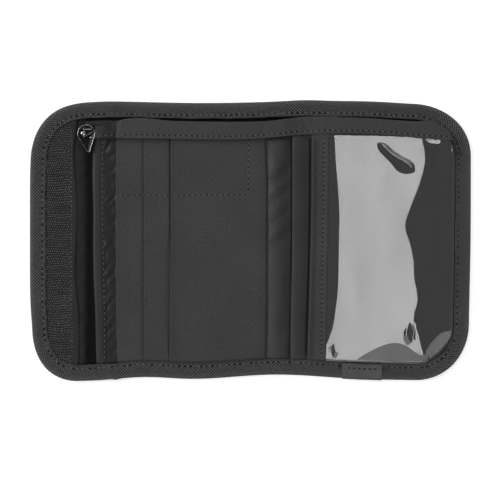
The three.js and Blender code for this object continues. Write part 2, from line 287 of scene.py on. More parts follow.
def grid_faces(n, m, wrap=False):
    i, j = np.meshgrid(np.arange(n - 1), np.arange(m if wrap else m - 1), indexing="ij")
    k = (j + 1) % m
    return np.stack([i * m + j, (i + 1) * m + j, (i + 1) * m + k, i * m + k], -1).reshape(-1, 4)


def capped_faces(n, m):
    """Faces of a closed body of n rings of m points, with a cap on each end."""
    faces = grid_faces(n, m, wrap=True).tolist()
    faces.append(list(range(m)))
    faces.append(list(range(n * m - 1, (n - 1) * m - 1, -1)))
    return faces


def sheet_solid(name, x, y, z, thickness, material, uv=None, moved=True):
    """A thin closed sheet about a grid of middle points, thickness along its normal."""
    uv = np.stack([x, y], -1) if uv is None else uv
    if moved:
        x, y = settle(x, y)
    middle = np.stack([x, y, z], -1)
    normal = unit(np.cross(np.gradient(middle, axis=0), np.gradient(middle, axis=1)))
    half = normal * (np.broadcast_to(thickness, x.shape) / 2)[..., None]
    n, m = x.shape
    points = np.concatenate([(middle + half).reshape(-1, 3), (middle - half).reshape(-1, 3)])
    upper = grid_faces(n, m)
    lower = upper[:, ::-1] + n * m
    ring = np.concatenate([
        np.arange(n) * m,
        (n - 1) * m + np.arange(1, m),
        (np.arange(n - 2, -1, -1)) * m + m - 1,
        np.arange(m - 2, 0, -1),
    ])
    after = np.roll(ring, -1)
    walls = np.stack([ring + n * m, after + n * m, after, ring], -1)
    flat = uv.reshape(-1, 2)
    faces = np.concatenate([upper, lower, walls])
    return make(name, points, faces.tolist(), np.concatenate([flat, flat]), material)


def second_material(piece, material, chosen):
    """Gives a second material to the faces whose texture place is chosen."""
    mesh = piece.data
    mesh.materials.append(material)
    places = np.zeros(2 * len(mesh.loops))
    mesh.uv_layers[0].data.foreach_get("uv", places)
    first = np.zeros(len(mesh.polygons), int)
    mesh.polygons.foreach_get("loop_start", first)
    u, v = (places.reshape(-1, 2)[first] / MM).T
    slot = chosen(u, v).astype(np.int32) + len(mesh.materials) - 2
    kept = np.zeros(len(mesh.polygons), np.int32)
    mesh.polygons.foreach_get("material_index", kept)
    mesh.polygons.foreach_set("material_index", np.where(chosen(u, v), slot, kept))


def tube_solid(name, rings, material, uv=None):
    """A closed solid through rings of points (n, m, 3), with a cap on each end."""
    uv = rings[..., :2] if uv is None else uv
    return make(name, rings.reshape(-1, 3), capped_faces(*rings.shape[:2]), uv.reshape(-1, 2), material)


def many(name, rings, material):
    """One piece of many small closed bodies, rings (count, n, m, 3), each closed by its end caps."""
    count, n, m = rings.shape[:3]
    one = capped_faces(n, m)
    faces = [[v + k * n * m for v in f] for k in range(count) for f in one]
    points = rings.reshape(-1, 3)
    return make(name, points, faces, points[:, :2], material)


def rings_about(path, side, up, radius, count):
    """A ring of count points round each place of a path, in the plane of side and up."""
    turn = np.arange(count) * 2 * math.pi / count
    ring = side[..., None, :] * np.cos(turn)[:, None] + up[..., None, :] * np.sin(turn)[:, None]
    return path[..., None, :] + radius * ring


def resample(points, pitch):
    """Evenly spaced places and directions along a polyline in the plane."""
    points = np.asarray(points, float)
    length = travel(points)
    count = max(2, int(round(length[-1] / pitch)))
    at = (np.arange(count) + 0.5) * length[-1] / count
    before, place, after = (
        np.stack([np.interp(at + d, length, points[:, k]) for k in (0, 1)], -1) for d in (-0.3, 0, 0.3)
    )
    return place, unit(after - before)


def stitches(
    name, path, height, pitch=STITCH_PITCH, length=1.6, width=0.5, under=False, moved=True, hole=1.0,
):
    """A run of thread stitches, on the cloth or under it, each with a needle hole at its end."""
    place, direction = resample(path, pitch)
    surface = height(place[:, 0], place[:, 1])
    if moved:
        far = settle(*(place + direction * 0.5).T)
        place = np.stack(settle(*place.T), -1)
        direction = unit(np.stack(far, -1) - place)
    direction = direction + rng.normal(0, 0.05, direction.shape)
    flip = -1 if under else 1
    run = many(name, stitch_rings(place, direction, surface, length, width, flip), THREAD)
    # The needle holes are near black: painted shade.
    pits = many(name + "_holes", hole_rings(place, direction, surface, pitch, hole, flip), NEEDLE_HOLE_SHADE)
    return join(name, [run, pits])


def stitch_rings(place, direction, surface, length, width, flip):
    """Each stitch arches over the cloth and sinks into it at both ends."""
    along = np.linspace(-1, 1, 7)
    size = np.sqrt(1 - 0.96 * along**4)
    rise = 0.16 - 0.5 * along**4
    turn = np.arange(6) * math.pi / 3
    across = np.stack([-direction[:, 1], direction[:, 0]], -1)
    sway = np.cos(turn)[None, :] * size[:, None] * width / 2
    lift = rise[:, None] + np.sin(turn)[None, :] * size[:, None] * width * 0.36
    xy = (
        place[:, None, None, :]
        + direction[:, None, None, :] * (along * length / 2)[None, :, None, None]
        + across[:, None, None, :] * sway[None, :, :, None]
    )
    z = surface[:, None, None] + flip * np.broadcast_to(lift, (len(place), 7, 6))
    rings = np.concatenate([xy, z[..., None]], -1)
    return rings if flip > 0 else rings[:, ::-1]


def hole_rings(place, direction, surface, pitch, hole, flip):
    """A dented needle hole midway between two stitches, in near black cloth: painted shade for the hole."""
    turn = np.arange(8) * math.pi / 4
    centre = place + direction * pitch / 2
    size = np.array([0.02, 0.38, 0.44, 0.02])[::flip]
    lift = np.array([-0.1, -0.02, 0.09, 0.13])[::flip] * flip
    along = size[None, :, None] * np.cos(turn) * 1.9 * hole
    sideways = size[None, :, None] * np.sin(turn) * hole
    dx, dy = direction[:, 0, None, None], direction[:, 1, None, None]
    hx = centre[:, 0, None, None] + dx * along - dy * sideways
    hy = centre[:, 1, None, None] + dy * along + dx * sideways
    hz = surface[:, None, None] + lift[None, :, None] + 0 * hx
    return np.stack([hx, hy, hz], -1)


def bend_left(piece):
    """Bakes the piece's transform into its mesh."""
    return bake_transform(piece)


def bend_right(piece):
    """Bakes the piece's transform into its mesh."""
    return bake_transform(piece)


# Materials ---------------------------------------------------------------------------------------------


class Shader:
    """A node material under construction. An input is given by its name, or by _ and its number."""

    def __init__(self, name):
        self.material = bpy.data.materials.new(name)
        self.material.use_nodes = True
        self.tree = self.material.node_tree
        self.tree.nodes.clear()
        self.output = self.tree.nodes.new("ShaderNodeOutputMaterial")

    def add(self, kind, settings=None, **inputs):
        node = self.tree.nodes.new("ShaderNode" + kind)
        for key, value in (settings or {}).items():
            setattr(node, key, value)
        for key, value in inputs.items():
            socket = node.inputs[int(key[1:]) if key[0] == "_" else key.replace("_", " ")]
            if isinstance(value, bpy.types.NodeSocket):
                self.tree.links.new(value, socket)
            else:
                socket.default_value = value
        return node

    def math(self, operation, a, b=0.0):
        return self.add("Math", {"operation": operation}, _0=a, _1=b).outputs[0]

    def plus(self, a, b):
        return self.math("ADD", a, b)

    def times(self, a, b):
        return self.math("MULTIPLY", a, b)

    def place(self):
        """Texture place in millimetres, as (u, v)."""
        uv = self.add("UVMap", {"uv_map": "UVMap"}).outputs[0]
        parts = self.add("SeparateXYZ", _0=uv)
        return self.math("DIVIDE", parts.outputs[0], MM), self.math("DIVIDE", parts.outputs[1], MM)

    def wave(self, t, pitch):
        return self.math("SINE", self.times(t, 2 * math.pi / pitch))

    def noise(self, u, v, size, detail=2.0):
        """Random values about 0.5, in patches about size across."""
        at = self.add("CombineXYZ", _0=u, _1=v).outputs[0]
        return self.add("TexNoise", Vector=at, Scale=1 / size, Detail=detail).outputs[0]

    def ramp(self, t, low, high):
        """Moves the usual spread of a noise value to low..high, clamped."""
        return self.add("MapRange", _0=t, _1=0.3, _2=0.7, _3=low, _4=high).outputs[0]

    def grey(self, value, warmth=0.0):
        """A colour from a grey value socket, very slightly warm or cool."""
        red, blue = self.times(value, 1 + warmth), self.times(value, 1 - warmth)
        return self.add("CombineColor", _0=red, _1=value, _2=blue).outputs[0]

    def bump(self, height, distance):
        return self.add("Bump", Height=height, Distance=distance * MM, Strength=1.0).outputs[0]

    def finish(self, **inputs):
        surface = self.add("BsdfPrincipled", **inputs)
        self.tree.links.new(surface.outputs[0], self.output.inputs[0])
        return self.material


def weave_pattern(s, u, v, kind, pitch):
    """Height of the yarns, about -1 to 1, on lines that drift a little."""
    drift = s.times(s.math("SUBTRACT", s.noise(u, v, 6.0), 0.5), pitch * 0.5)
    u, v = s.plus(u, drift), s.plus(v, drift)
    if kind == "twill":
        yarn = s.wave(s.plus(u, v), pitch)
        cross = s.wave(s.math("SUBTRACT", u, v), pitch)
        return s.plus(s.times(yarn, 0.7), s.times(cross, 0.5))
    if kind == "rib":
        return s.plus(s.wave(v, pitch), s.times(s.wave(u, pitch * 0.7), 0.5))
    if kind == "herringbone":
        return s.wave(s.plus(s.math("PINGPONG", u, pitch * 2), v), pitch)
    return s.times(s.wave(u, pitch), s.wave(v, pitch))


def cloth_material(
    name, tone, pitch, kind="plain", depth=0.05, roughness=0.62, sheen=0.12, contrast=0.25, grain=None,
    gloss=0.22, painted_highlight=None, painted_shade=None,
):
    """Woven cloth: yarns at the given pitch, slubs, and a slow change of tone.

    painted_highlight is a painted highlight, a lighter line: (its place across the cloth, its reach, its
    gain).
    painted_shade is painted shade, a darker end for cloth deep in a gap: (where in u it starts, where it is
    full, the share of light left there).
    """
    s = Shader(name)
    u, v = s.place()
    weave = weave_pattern(s, u, v, kind, pitch)
    slub = s.noise(s.times(u, 0.25), v, pitch * 0.8, 3.0)
    height = s.plus(s.times(weave, 0.5), s.times(slub, 1.1))
    # lit paints the weave's own light and shade into the colour: yarn crests lighter, hollows darker.
    lit = s.math("MAXIMUM", s.plus(s.times(weave, contrast * 0.4), 1.0), 0.08)
    grain = contrast if grain is None else grain
    speck = s.ramp(s.noise(u, v, pitch * 0.9, 2.0), 1 - grain, 1 + grain)
    drifted = s.ramp(s.noise(u, v, 26.0, 3.0), 0.9, 1.1)
    value = s.times(s.times(lit, speck), s.times(drifted, tone))
    # Painted highlight: a lighter line across the cloth at v, standing in for light caught on a fold.
    if painted_highlight:
        place, reach, gain = painted_highlight
        off = s.math("DIVIDE", s.math("ABSOLUTE", s.math("SUBTRACT", v, place)), reach)
        near = s.math("SUBTRACT", 1.0, s.math("MINIMUM", off, 1.0))
        value = s.times(value, s.plus(1.0, s.times(near, gain)))
    # Painted shade: the colour darkens from start to full in u and stays dark beyond, as shade in a gap or
    # fold.
    if painted_shade:
        start, full, left = painted_shade
        smoothly = {"interpolation_type": "SMOOTHSTEP"}
        share = s.add("MapRange", smoothly, _0=u, _1=start, _2=full, _3=1.0, _4=left)
        value = s.times(value, share.outputs[0])
    return s.finish(
        Base_Color=s.grey(value), Roughness=s.ramp(slub, roughness - 0.08, roughness + 0.1),
        Normal=s.bump(height, depth), Sheen_Weight=sheen, Sheen_Roughness=0.4, Specular_IOR_Level=gloss,
    )


def metal_material(name, low, high):
    """Plated metal, brushed a little, with patches rubbed brighter by wear."""
    s = Shader(name)
    u, v = s.place()
    scratch = s.noise(s.times(u, 0.15), v, 0.25, 3.0)
    value = s.ramp(s.noise(u, v, 1.4, 2.0), low, high)
    return s.finish(
        Base_Color=s.grey(value, -0.01), Metallic=1.0, Roughness=s.ramp(scratch, 0.16, 0.34),
        Normal=s.bump(scratch, 0.01),
    )


def plastic_material(name, tone, roughness):
    """Moulded nylon with a faint grain."""
    s = Shader(name)
    u, v = s.place()
    grain = s.noise(u, v, 0.2, 2.0)
    value = s.times(s.ramp(s.noise(s.times(u, 0.12), v, 2.2), 0.45, 1.55), tone)
    return s.finish(
        Base_Color=s.grey(value), Roughness=s.ramp(grain, roughness - 0.1, roughness + 0.1),
        Normal=s.bump(grain, 0.01), Specular_IOR_Level=0.5,
    )


def film_material(name, roughness):
    """Clear vinyl: mostly see-through, with a mirror-like gloss that is stronger at a glance."""
    s = Shader(name)
    u, v = s.place()
    haze = s.noise(u, v, 9.0, 3.0)
    normal = s.bump(s.plus(s.times(s.noise(u, v, 0.6, 2.0), 0.1), haze), 0.0012)
    fresnel = s.add("Fresnel", IOR=1.52, Normal=normal).outputs[0]
    soft = s.ramp(s.noise(u, s.times(v, 0.25), 13.0, 1.5), 0.84, 1.0)
    gloss = s.add("BsdfGlossy", Color=s.grey(soft), Roughness=roughness, Normal=normal).outputs[0]
    clear = s.add("BsdfTransparent", Color=(0.93, 0.93, 0.935, 1)).outputs[0]
    dust = s.add("BsdfDiffuse", Color=s.grey(s.ramp(haze, 0.4, 0.46))).outputs[0]
    under = s.add("MixShader", _0=0.06, _1=clear, _2=dust).outputs[0]
    both = s.add("MixShader", _0=fresnel, _1=under, _2=gloss).outputs[0]
    s.tree.links.new(both, s.output.inputs[0])
    return s.material


SHELL_CLOTH = cloth_material("shell_cloth", 0.03, 0.9, depth=0.06, contrast=0.25)
# The lining is painted darker, down to a tenth, from x -93.5 to -88.5 towards the pouch lip and beyond:
# painted shade of the gap under the lip, which also darkens the whole divider.
LINING_SHADE_CLOTH = cloth_material(
    "lining_cloth", 0.015, 0.7, depth=0.03, roughness=0.6, sheen=0.0, contrast=0.15, gloss=0.1,
    painted_shade=(-93.5, -88.5, 0.1),
)
# The lip cloth is darker than the pocket cloth, and is painted darker still, down to half, from u -82.3 to
# -79.3 and beyond: painted shade over the puckered band right of the lip seam.
LIP_SHADE_CLOTH = cloth_material(
    "lip_cloth_painted_shade", 0.023, 0.7, depth=0.03, roughness=0.5, contrast=0.15, painted_shade=(-82.3, -79.3, 0.5),
)
POCKET_CLOTH = cloth_material("pocket_cloth", 0.036, 0.9, depth=0.04, roughness=0.55, contrast=0.3)
# Pocket cloth painted darker, down to 0.58, from x 24 to 31 and beyond: painted shadow of the window strip on
# the passport pocket.
PASSPORT_SHADE_CLOTH = cloth_material(
    "passport_cloth_painted_shade", 0.036, 0.9, depth=0.04, roughness=0.55, contrast=0.3, painted_shade=(24, 31, 0.58),
)
# Pocket cloth painted darker, down to 0.6, from x 12 to 21 and beyond: painted shade down the fold towards
# the passport mouth.
FOLD_SHADE_CLOTH = cloth_material(
    "fold_cloth_painted_shade", 0.036, 0.9, depth=0.04, roughness=0.55, contrast=0.3, painted_shade=(12, 21, 0.6),
)
# The binding's outer fold, about v 10.5 across the tape, is painted lighter: a painted highlight on the rim.
BINDING_TWILL = cloth_material(
    "binding_twill", 0.048, 1.7, "twill", depth=0.3, roughness=0.85, sheen=0.05, contrast=1.9, grain=0.2,
    gloss=0.12, painted_highlight=(10.5, 3.2, 0.6),
)
WEBBING = cloth_material("webbing", 0.076, 1.1, "rib", depth=0.15, roughness=0.8, contrast=0.25)
ZIP_TAPE = cloth_material("zip_tape", 0.02, 0.8, "herringbone", depth=0.07, roughness=0.75)
HOOK_TAPE = cloth_material("hook_tape", 0.018, 0.9, depth=0.08, roughness=0.7, contrast=0.25)
LOOP_TAPE = cloth_material("loop_tape", 0.025, 0.7, depth=0.1, roughness=0.9, sheen=0.5)
THREAD = cloth_material("thread", 0.095, 0.3, "twill", depth=0.05, roughness=0.5, contrast=0.2)
# Near black, for the needle holes: painted shade standing in for the holes' depth.
NEEDLE_HOLE_SHADE = cloth_material("needle_hole_painted_shade", 0.007, 0.3, depth=0.02, roughness=0.9, sheen=0.0)
HOOK_NYLON = plastic_material("hook_nylon", 0.13, 0.35)
COIL_NYLON = plastic_material("coil_nylon", 0.02, 0.4)
GUNMETAL = metal_material("gunmetal", 0.22, 0.62)
DARK_METAL = metal_material("dark_metal", 0.02, 0.06)
VINYL = film_material("clear_vinyl", 0.008)
VINYL_EDGE = film_material("clear_vinyl_edge", 0.35)


# Binding -----------------------------------------------------------------------------------------------


def outline(inset, along):
    """The outline's four rounded corners, moved inwards by inset, counterclockwise from the upper left."""
    found = []
    for sx, sy, first in ((-1, 1, 1), (-1, -1, 2), (1, -1, 3), (1, 1, 0)):
        radius = RADII[sx, sy]
        centre = np.array([sx * (HALF_WIDTH - radius), MID_Y + sy * (HALF_HEIGHT - radius)])
        turn = (first + np.linspace(0, 1, along)) * math.pi / 2
        found.append(centre + (radius - inset) * np.stack([np.cos(turn), np.sin(turn)], -1))
    return found


def half_outline(inset, side, counts):
    """The outline of the left (-1) or right (1) half, from one lap place to the other, counterclockwise."""
    overlap = 1.2
    arcs = outline(inset, 34)
    start = np.array([LAP_X, TOP - inset])
    stop = np.array([LAP_X - side * overlap, BOTTOM + inset])
    arcs = arcs[:2] if side < 0 else arcs[2:]
    ends = (start, stop) if side < 0 else (stop, start)
    parts = [ends[0][None]]
    last = ends[0]
    for arc, count in zip([*arcs, ends[1][None]], counts):
        t = (np.arange(1, count) / count)[:, None]
        parts += [last + (arc[0] - last) * t, arc]
        last = arc[-1]
    return np.concatenate(parts)


BINDING_RUNS = {-1: (20, 95, 26), 1: (165, 95, 170)}


def binding_relief(x, y, inset):
    """Height of the tape's upper face above its plain profile: stitch dimples, puckers and creases."""
    puckers = 0.13 * ripple(x, y, 2.4, 3) + 0.14 * ripple(x, y, 7.0, 4)
    corner = smooth((np.abs(x) - 82) / 16) * smooth((np.abs(y) - 38) / 14)
    gather = 0.25 * ripple(x * 1.6, y * 1.6, 3.0, 5) * corner
    low_creases = bells(x, [(21.6, -0.45, 0.8), (24.2, -0.3, 0.7), (-6, -0.2, 1.5)])
    high_creases = bells(x, [(26, -0.25, 1.5), (-93, -0.3, 1.8)])
    groove = -0.35 * bell(inset - STITCH_INSET, 0.75)
    return puckers + gather + np.where(y < 0, low_creases, high_creases) + groove


def binding_profile():
    """(inset, height) round the folded tape, from the lower inner edge out and over to the upper one."""
    height, fold, width, tape = BINDING_TOP, 1.35, BINDING_WIDTH, 0.55
    outer = [(width - 0.1, 0.12), (width - 1.2, 0.0), (width - 3, 0.0), (4.2, 0.0), (2.8, 0.0), (1.6, 0.02)]
    for a in np.linspace(math.radians(-70), math.radians(75), 11):
        outer.append((fold - fold * math.cos(a), height / 2 - 0.1 + (height / 2 - 0.05) * math.sin(a)))
    outer += [(1.7, height - 0.06), (2.6, height), (3.6, height), (4.6, height - 0.03), (5.2, height - 0.06)]
    outer += [(6.0, height - 0.12), (6.7, height - 0.16), (7.7, height - 0.08), (width - 0.4, height - 0.02)]
    outer += [(width - 0.08, height - 0.16), (width, height - 0.34)]
    inner = [(width - 0.25, height - 0.5), (6.5, height - tape - 0.2), (4.5, height - tape - 0.1)]
    inner += [(2.2, height - tape), (fold - 0.2, height - tape - 0.35), (0.85, height / 2)]
    inner += [(fold - 0.2, tape + 0.3), (2.2, tape), (4.5, tape), (width - 0.4, tape - 0.02)]
    return np.array(outer), np.array(inner)


def upper_binding(x, y):
    """Height of the binding's upper face at a place on it."""
    outer, _ = binding_profile()
    above = outer[8:]
    inset = inset_of(x, y)
    return np.interp(inset, above[:, 0], above[:, 1]) + binding_relief(x, y, inset)


def make_binding(side):
    outer, inner = binding_profile()
    profile = np.concatenate([outer, inner])
    travelled = travel(profile)
    length = travel(half_outline(4.0, side, BINDING_RUNS[side]))
    rings, uv = [], []
    for (inset, z), v in zip(profile, travelled):
        line = half_outline(inset, side, BINDING_RUNS[side])
        x, y = line.T
        upper = smooth((z - 1.6) / 1.0)
        relief = binding_relief(x, y, inset) * upper
        wobble = 0.22 * ripple(x, y, 11.0, 9) * smooth((inset - 5) / 3)
        forward = np.gradient(line, axis=0)
        away = unit(np.stack([forward[:, 1], -forward[:, 0]], -1))
        line = line + away * wobble[:, None]
        if side > 0:
            lap = smooth((LAP_X + 4 - x) / 4) * (y < 0)
            line = line + away * (0.45 * lap * (inset < 3))[:, None]
            relief = relief + 0.55 * lap * upper
        x, y = settle(*line.T)
        rings.append(np.stack([x, y, z + relief], -1))
        uv.append(np.stack([length, np.full(len(length), v)], -1))
    name = "binding_tape_left" if side < 0 else "binding_tape_right"
    piece = tube_solid(name, np.stack(rings, 1), BINDING_TWILL, np.stack(uv, 1))
    return piece


def binding():
    """Tape folded over the edge in two pieces, with its seam seen on both faces."""
    left, right = make_binding(-1), make_binding(1)
    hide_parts("binding_left")
    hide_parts("binding_right", "binding_top_centre", "binding_bottom_centre")
    bend_left(left)
    bend_right(right)
    for name, side, bend in (("left", -1, bend_left), ("right", 1, bend_right)):
        line = half_outline(STITCH_INSET, side, BINDING_RUNS[side])
        bend(stitches(f"binding_stitches_{name}", line, upper_binding, width=0.6, hole=1.15))
        lower = lambda x, y: np.zeros(len(x))
        bend(stitches(f"binding_back_stitches_{name}", line, lower, under=True))


# Shell, lining and divider -----------------------------------------------------------------------------


# Where the lining buckles up beside the hook strip: (place, spread in x and y, height)
LINING_SWELLS = [
    ((-93.6, 43), (2.4, 7), 1.1),
    ((-93.5, 2.5), (2.4, 8), 0.5),
    ((-92.6, -20), (2.6, 9), 0.8),
    ((-91.6, -56), (2.6, 9), 0.9),
    ((-93, 22), (3, 8), 0.7),
]
# Creases: (from, to, depth, width)
LINING_CREASES = [
    ((-97.5, 29.5), (-86, 37.9), 0.9, 1.2),
    ((-97, -1), (-87, -10), 0.8, 1.3),
    ((-95.5, -38), (-88, -45.5), 0.6, 1.0),
]


def lining_height(x, y):
    """The lining shows between the hook strip and the pouch lip, where it buckles softly into the fold."""
    gap = bell(x + 91.5, 5.5) * smooth((-88.6 - x) / 2.2)
    swell = sum(
        height * bell(x - place[0], spread[0]) * bell(y - place[1], spread[1])
        for place, spread, height in LINING_SWELLS
    )
    buckles = 0.6 * (swell + creases(x, y, LINING_CREASES)) + 0.25 * ripple(x, y, 7, 21)
    return level(x, y, LINING) + buckles * gap - 0.15 * bell(x + 87.8, 2.0)


def base_sheets():
    """Outer shell and inner lining, each in two halves that meet under the pouch."""
    halves = (
        ("left", columns(-HALF_WIDTH, SPLIT_X, TUCK, 1.2), bend_left, ["left"]),
        ("right", columns(SPLIT_X, HALF_WIDTH, TUCK, 1.6), bend_right, ["centre", "right"]),
    )
    for name, xs, bend, panels in halves:
        x, y = grid(xs, step=1.2)
        slack = 0.06 * ripple(x, y, 34, 31) * smooth((inset_of(x, y) - 9) / 8)
        shell_z = level(x, y, SHELL) + slack
        shell = sheet_solid(f"shell_cloth_{name}", x, y, shell_z, 0.42, SHELL_CLOTH)
        lining = sheet_solid(
            f"lining_cloth_{name}", x, y, lining_height(x, y), SHEET, LINING_SHADE_CLOTH,
        )
        for layer, piece in (("shell", shell), ("lining", lining)):
            bend(piece)
            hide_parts(*(f"{layer}_{panel}" for panel in panels))


def divider():
    """The pouch's back, behind which the notes go."""
    left = POUCH_LEFT + 0.5
    x, y = grid(columns(left, HALF_WIDTH, TUCK, 1.8), top=COVER_HIGH[1] - 0.2, step=1.8)
    piece = sheet_solid("note_divider", x, y, level(x, y, DIVIDER), 0.18, LINING_SHADE_CLOTH)
    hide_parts("note_divider_centre", "note_divider_right")
    bend_right(piece)


# Pouch front with its rolled lip -----------------------------------------------------------------------


def lip_x(y):
    """Outer edge of the pouch lip, down its length."""
    return curve(y, LIP_EDGE)


def lip_seam_x(y):
    return curve(y, [(-68, -80.2), (-40, -80.3), (-10, -80.9), (20, -81.5), (58, -81.3)])


def fold_start_x(y):
    """Where the pouch front begins to sink towards the passport mouth."""
    return curve(y, [(-68, 18.6), (-45, 18.2), (-20, 15.4), (5, 14.2), (30, 13.6), (42, 16.2), (58, 18.8)])


FOLD_CREASES = [
    ((10.0, 19.0), (23.0, 31.0), 0.8, 1.7),
    ((11.0, 7.2), (23.0, 19.0), 0.7, 1.9),
    ((10.0, -4.2), (23.0, 5.8), 0.7, 1.8),
    ((13.0, 29.5), (22.5, 43.0), 1.1, 2.3),
    ((17.0, -64.0), (19.0, -24.0), 0.3, 1.4),
]
LIP_EDGE = [
    (-68, -84.4), (-52, -84.8), (-36, -85.3), (-20, -86.1), (0, -86.4), (18, -86.3), (34, -86.7), (58, -86.2),
]
LIP_CREASES = [
    ((-81.0, 47.0), (-75.0, 60.0), 0.6, 0.7),
    ((-81.0, 18.0), (-73.0, 26.5), 0.6, 0.6),
    ((-82.5, -68.5), (-79.0, -61.5), 0.5, 0.6),
    ((-79.8, -61.5), (-76.0, -68.0), 0.5, 0.6),
    ((-80.5, -6.0), (-74.0, 1.0), 0.45, 0.8),
    ((-80.5, -22.0), (-74.0, -17.0), 0.5, 0.9),
    ((-80.5, -38.0), (-74.5, -31.0), 0.5, 0.8),
    ((-80.5, -51.0), (-74.5, -46.0), 0.45, 0.8),
]


def pouch_height(x, y):
    """Height of the pouch front: puckered lip, flat field, and the folds down to the passport mouth."""
    fall = smooth((x - fold_start_x(y)) / (PASSPORT_MOUTH - fold_start_x(y)))
    past = 1 - smooth((x - STRIP_LEFT - 8) / 10)
    sink = np.minimum(0.72 * smooth((x - PASSPORT_MOUTH + 0.9) / 0.8) + 0.45 * fall, 0.85) * past
    lifted = 0.9 * smooth((57.8 - y) / 3) * (1 - fall) * smooth((x - SLOT_SEAM - 0.5) / 4)
    sink = sink - lifted * (x < PASSPORT_MOUTH)
    between = smooth((x - SLOT_SEAM) / 2) * smooth((PASSPORT_MOUTH - x) / 2)
    waves = (0.16 * ripple(x, y, 8, 41, 1.6, -0.75) + creases(x, y, FOLD_CREASES)) * between
    seam = lip_seam_x(y)
    band = smooth((x - seam) / 1.5) * smooth((SLOT_MOUTHS[0] + 1 - x) / 2)
    pucker = 0.3 * ripple(x, y, 5.5, 42, 1.5, -0.6) + 0.1 * ripple(x, y, 2.6, 43, 1.0, 0.5) - 0.35
    pucker = (pucker + creases(x, y, LIP_CREASES)) * band
    valley = -0.3 * bell(x - seam, 1.0)
    rolled = smooth((x - lip_x(y) + 1.0) / 2.2) * (1 - smooth((x - seam + 1.9) / 1.7))
    crest = (0.4 + 0.12 * ripple(x, y, 9, 44, 2.0)) * rolled
    right = x - seam_x(y)
    dent = 0.1 * ripple(x, y, 3, 45) * bell(right - 1.2, 1.2) - 0.25 * bell(right - 0.3, 0.4)
    return level(x, y, POUCH) - sink + (waves + pucker + valley + crest + dent) * field_share(x, y)


def rolled_lip(x, y, z):
    """Adds rows that roll over at the pouch's left edge and go down to the divider."""
    reach, drop = 1.7, 1.15
    first, last = math.radians(190), math.radians(100)
    turn = np.linspace(first, last, 9)[:, None]
    roll_x = x[:1] + 0.3 + reach * np.cos(turn)
    roll_z = z[:1] + drop * (np.sin(turn) - math.sin(last))
    floor_z = level(x[:1], y[:1], DIVIDER)[0] + 0.25
    down_x = np.stack([roll_x[0] + 0.4, roll_x[0] + 0.15])
    down_z = np.stack([np.minimum(floor_z, roll_z[0] - 0.4), (floor_z + roll_z[0]) / 2])
    added = len(down_x) + len(roll_x)
    x = np.concatenate([down_x, roll_x, x])
    z = np.concatenate([down_z, roll_z, z])
    return x, np.concatenate([np.repeat(y[:1], added, 0), y]), z, added


def pouch_front():
    """The front rolls over at its left edge into the lip, which is topstitched."""
    left = POUCH_LEFT + 1.2
    xs = columns(left, HALF_WIDTH, TUCK, 1.3, fine=(SLOT_SEAM, PASSPORT_MOUTH))
    dense = np.arange(left, SLOT_MOUTHS[0] + 2, 0.45)
    xs = np.unique(np.concatenate([dense, xs[xs > SLOT_MOUTHS[0] + 2.3]]))
    x, y = grid(xs, top=POCKET_TOP + 0.8, step=0.85)
    x = x + (lip_x(y[:1]) - POUCH_LEFT) * (1 - smooth((x - POUCH_LEFT) / 7))
    x, y, z, added = rolled_lip(x, y, pouch_height(x, y))
    middle = 60
    run = travel(np.stack([x[:, middle], z[:, middle]], -1))
    at_seam = np.searchsorted(x[added:, middle], SLOT_SEAM) + added
    run = run - run[at_seam] + x[at_seam, middle]
    uv = np.stack([np.broadcast_to(run[:, None], x.shape), y], -1)
    piece = sheet_solid("pouch_front", x, y, z, SHEET, POCKET_CLOTH, uv)
    # The lip takes the lip cloth, with its painted shade over the band right of the seam.
    second_material(piece, LIP_SHADE_CLOTH, lambda u, v: u < SLOT_MOUTHS[0] + 0.5)
    # The fold takes the fold cloth: painted shade down to the passport mouth.
    second_material(piece, FOLD_SHADE_CLOTH, lambda u, v: (u > SLOT_SEAM) & (u < PASSPORT_MOUTH + 2))
    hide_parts("pouch_front_centre", "pouch_front_right")
    bend_right(piece)
    ys = np.linspace(POCKET_TOP - 1.5, -66, 60)
    path = np.stack([lip_seam_x(ys), ys], -1)
    above = lambda a, b: pouch_height(a, b) + 0.1
    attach(stitches("lip_stitches", path, above, width=0.4, hole=0.5), "centre_panel")


# Pockets on the pouch front ----------------------------------------------------------------------------


def hem_thickness(distance, hem=5.0, folded=0.45):
    """A folded hem along the mouth, rounded at its edge, then a single layer."""
    near = np.clip(distance / 0.22, 0.02, 1)
    rounded = np.sqrt(near * (2 - near))
    return (SHEET + (folded - SHEET) * (1 - smooth((distance - hem + 2) / 4.5))) * rounded


def seam_x(y):
    """The seam that closes the card slots on the right."""
    return curve(y, [(-68, 8.5), (-40, 9.0), (0, 9.2), (38, 9.1), (58, 8.3)])


SLOT_BOWS = [
    [(-68, 0.8), (-50, 0.2), (0, 0), (30, 0.0), (58, 0.2)],
    [(-68, -0.1), (0, 0), (58, -0.1)],
    [(-68, -0.8), (-40, -0.4), (0, 0), (58, 0)],
]
SLOT_LAYERS = [FIRST, SECOND, THIRD]


def slot_relief(index, x, y):
    """A slot lifts a little at its mouth and sinks before the next one."""
    lift = (0.25, 0.3, 0.45)[index]
    z = lift * bell(x - SLOT_MOUTHS[index], 1.1) + 0.06 * ripple(x, y, 30, 50 + index)
    if index < 2:
        depth, sag = ((0.4, 0.3), (0.7, 1.6))[index]
        spread = 0.8 + sag * smooth((10 - y) / 30) * smooth((y + 60) / 20)
        z = z - depth * bell(np.minimum(x - SLOT_MOUTHS[index + 1] - 0.2, 0), spread)
    sewn = bell(x + 0.9, 0.7) * smooth((y - 24) / 2) + bell(y - 25.3, 0.6) * smooth((-1.5 - x) / 2)
    return z - 0.2 * sewn


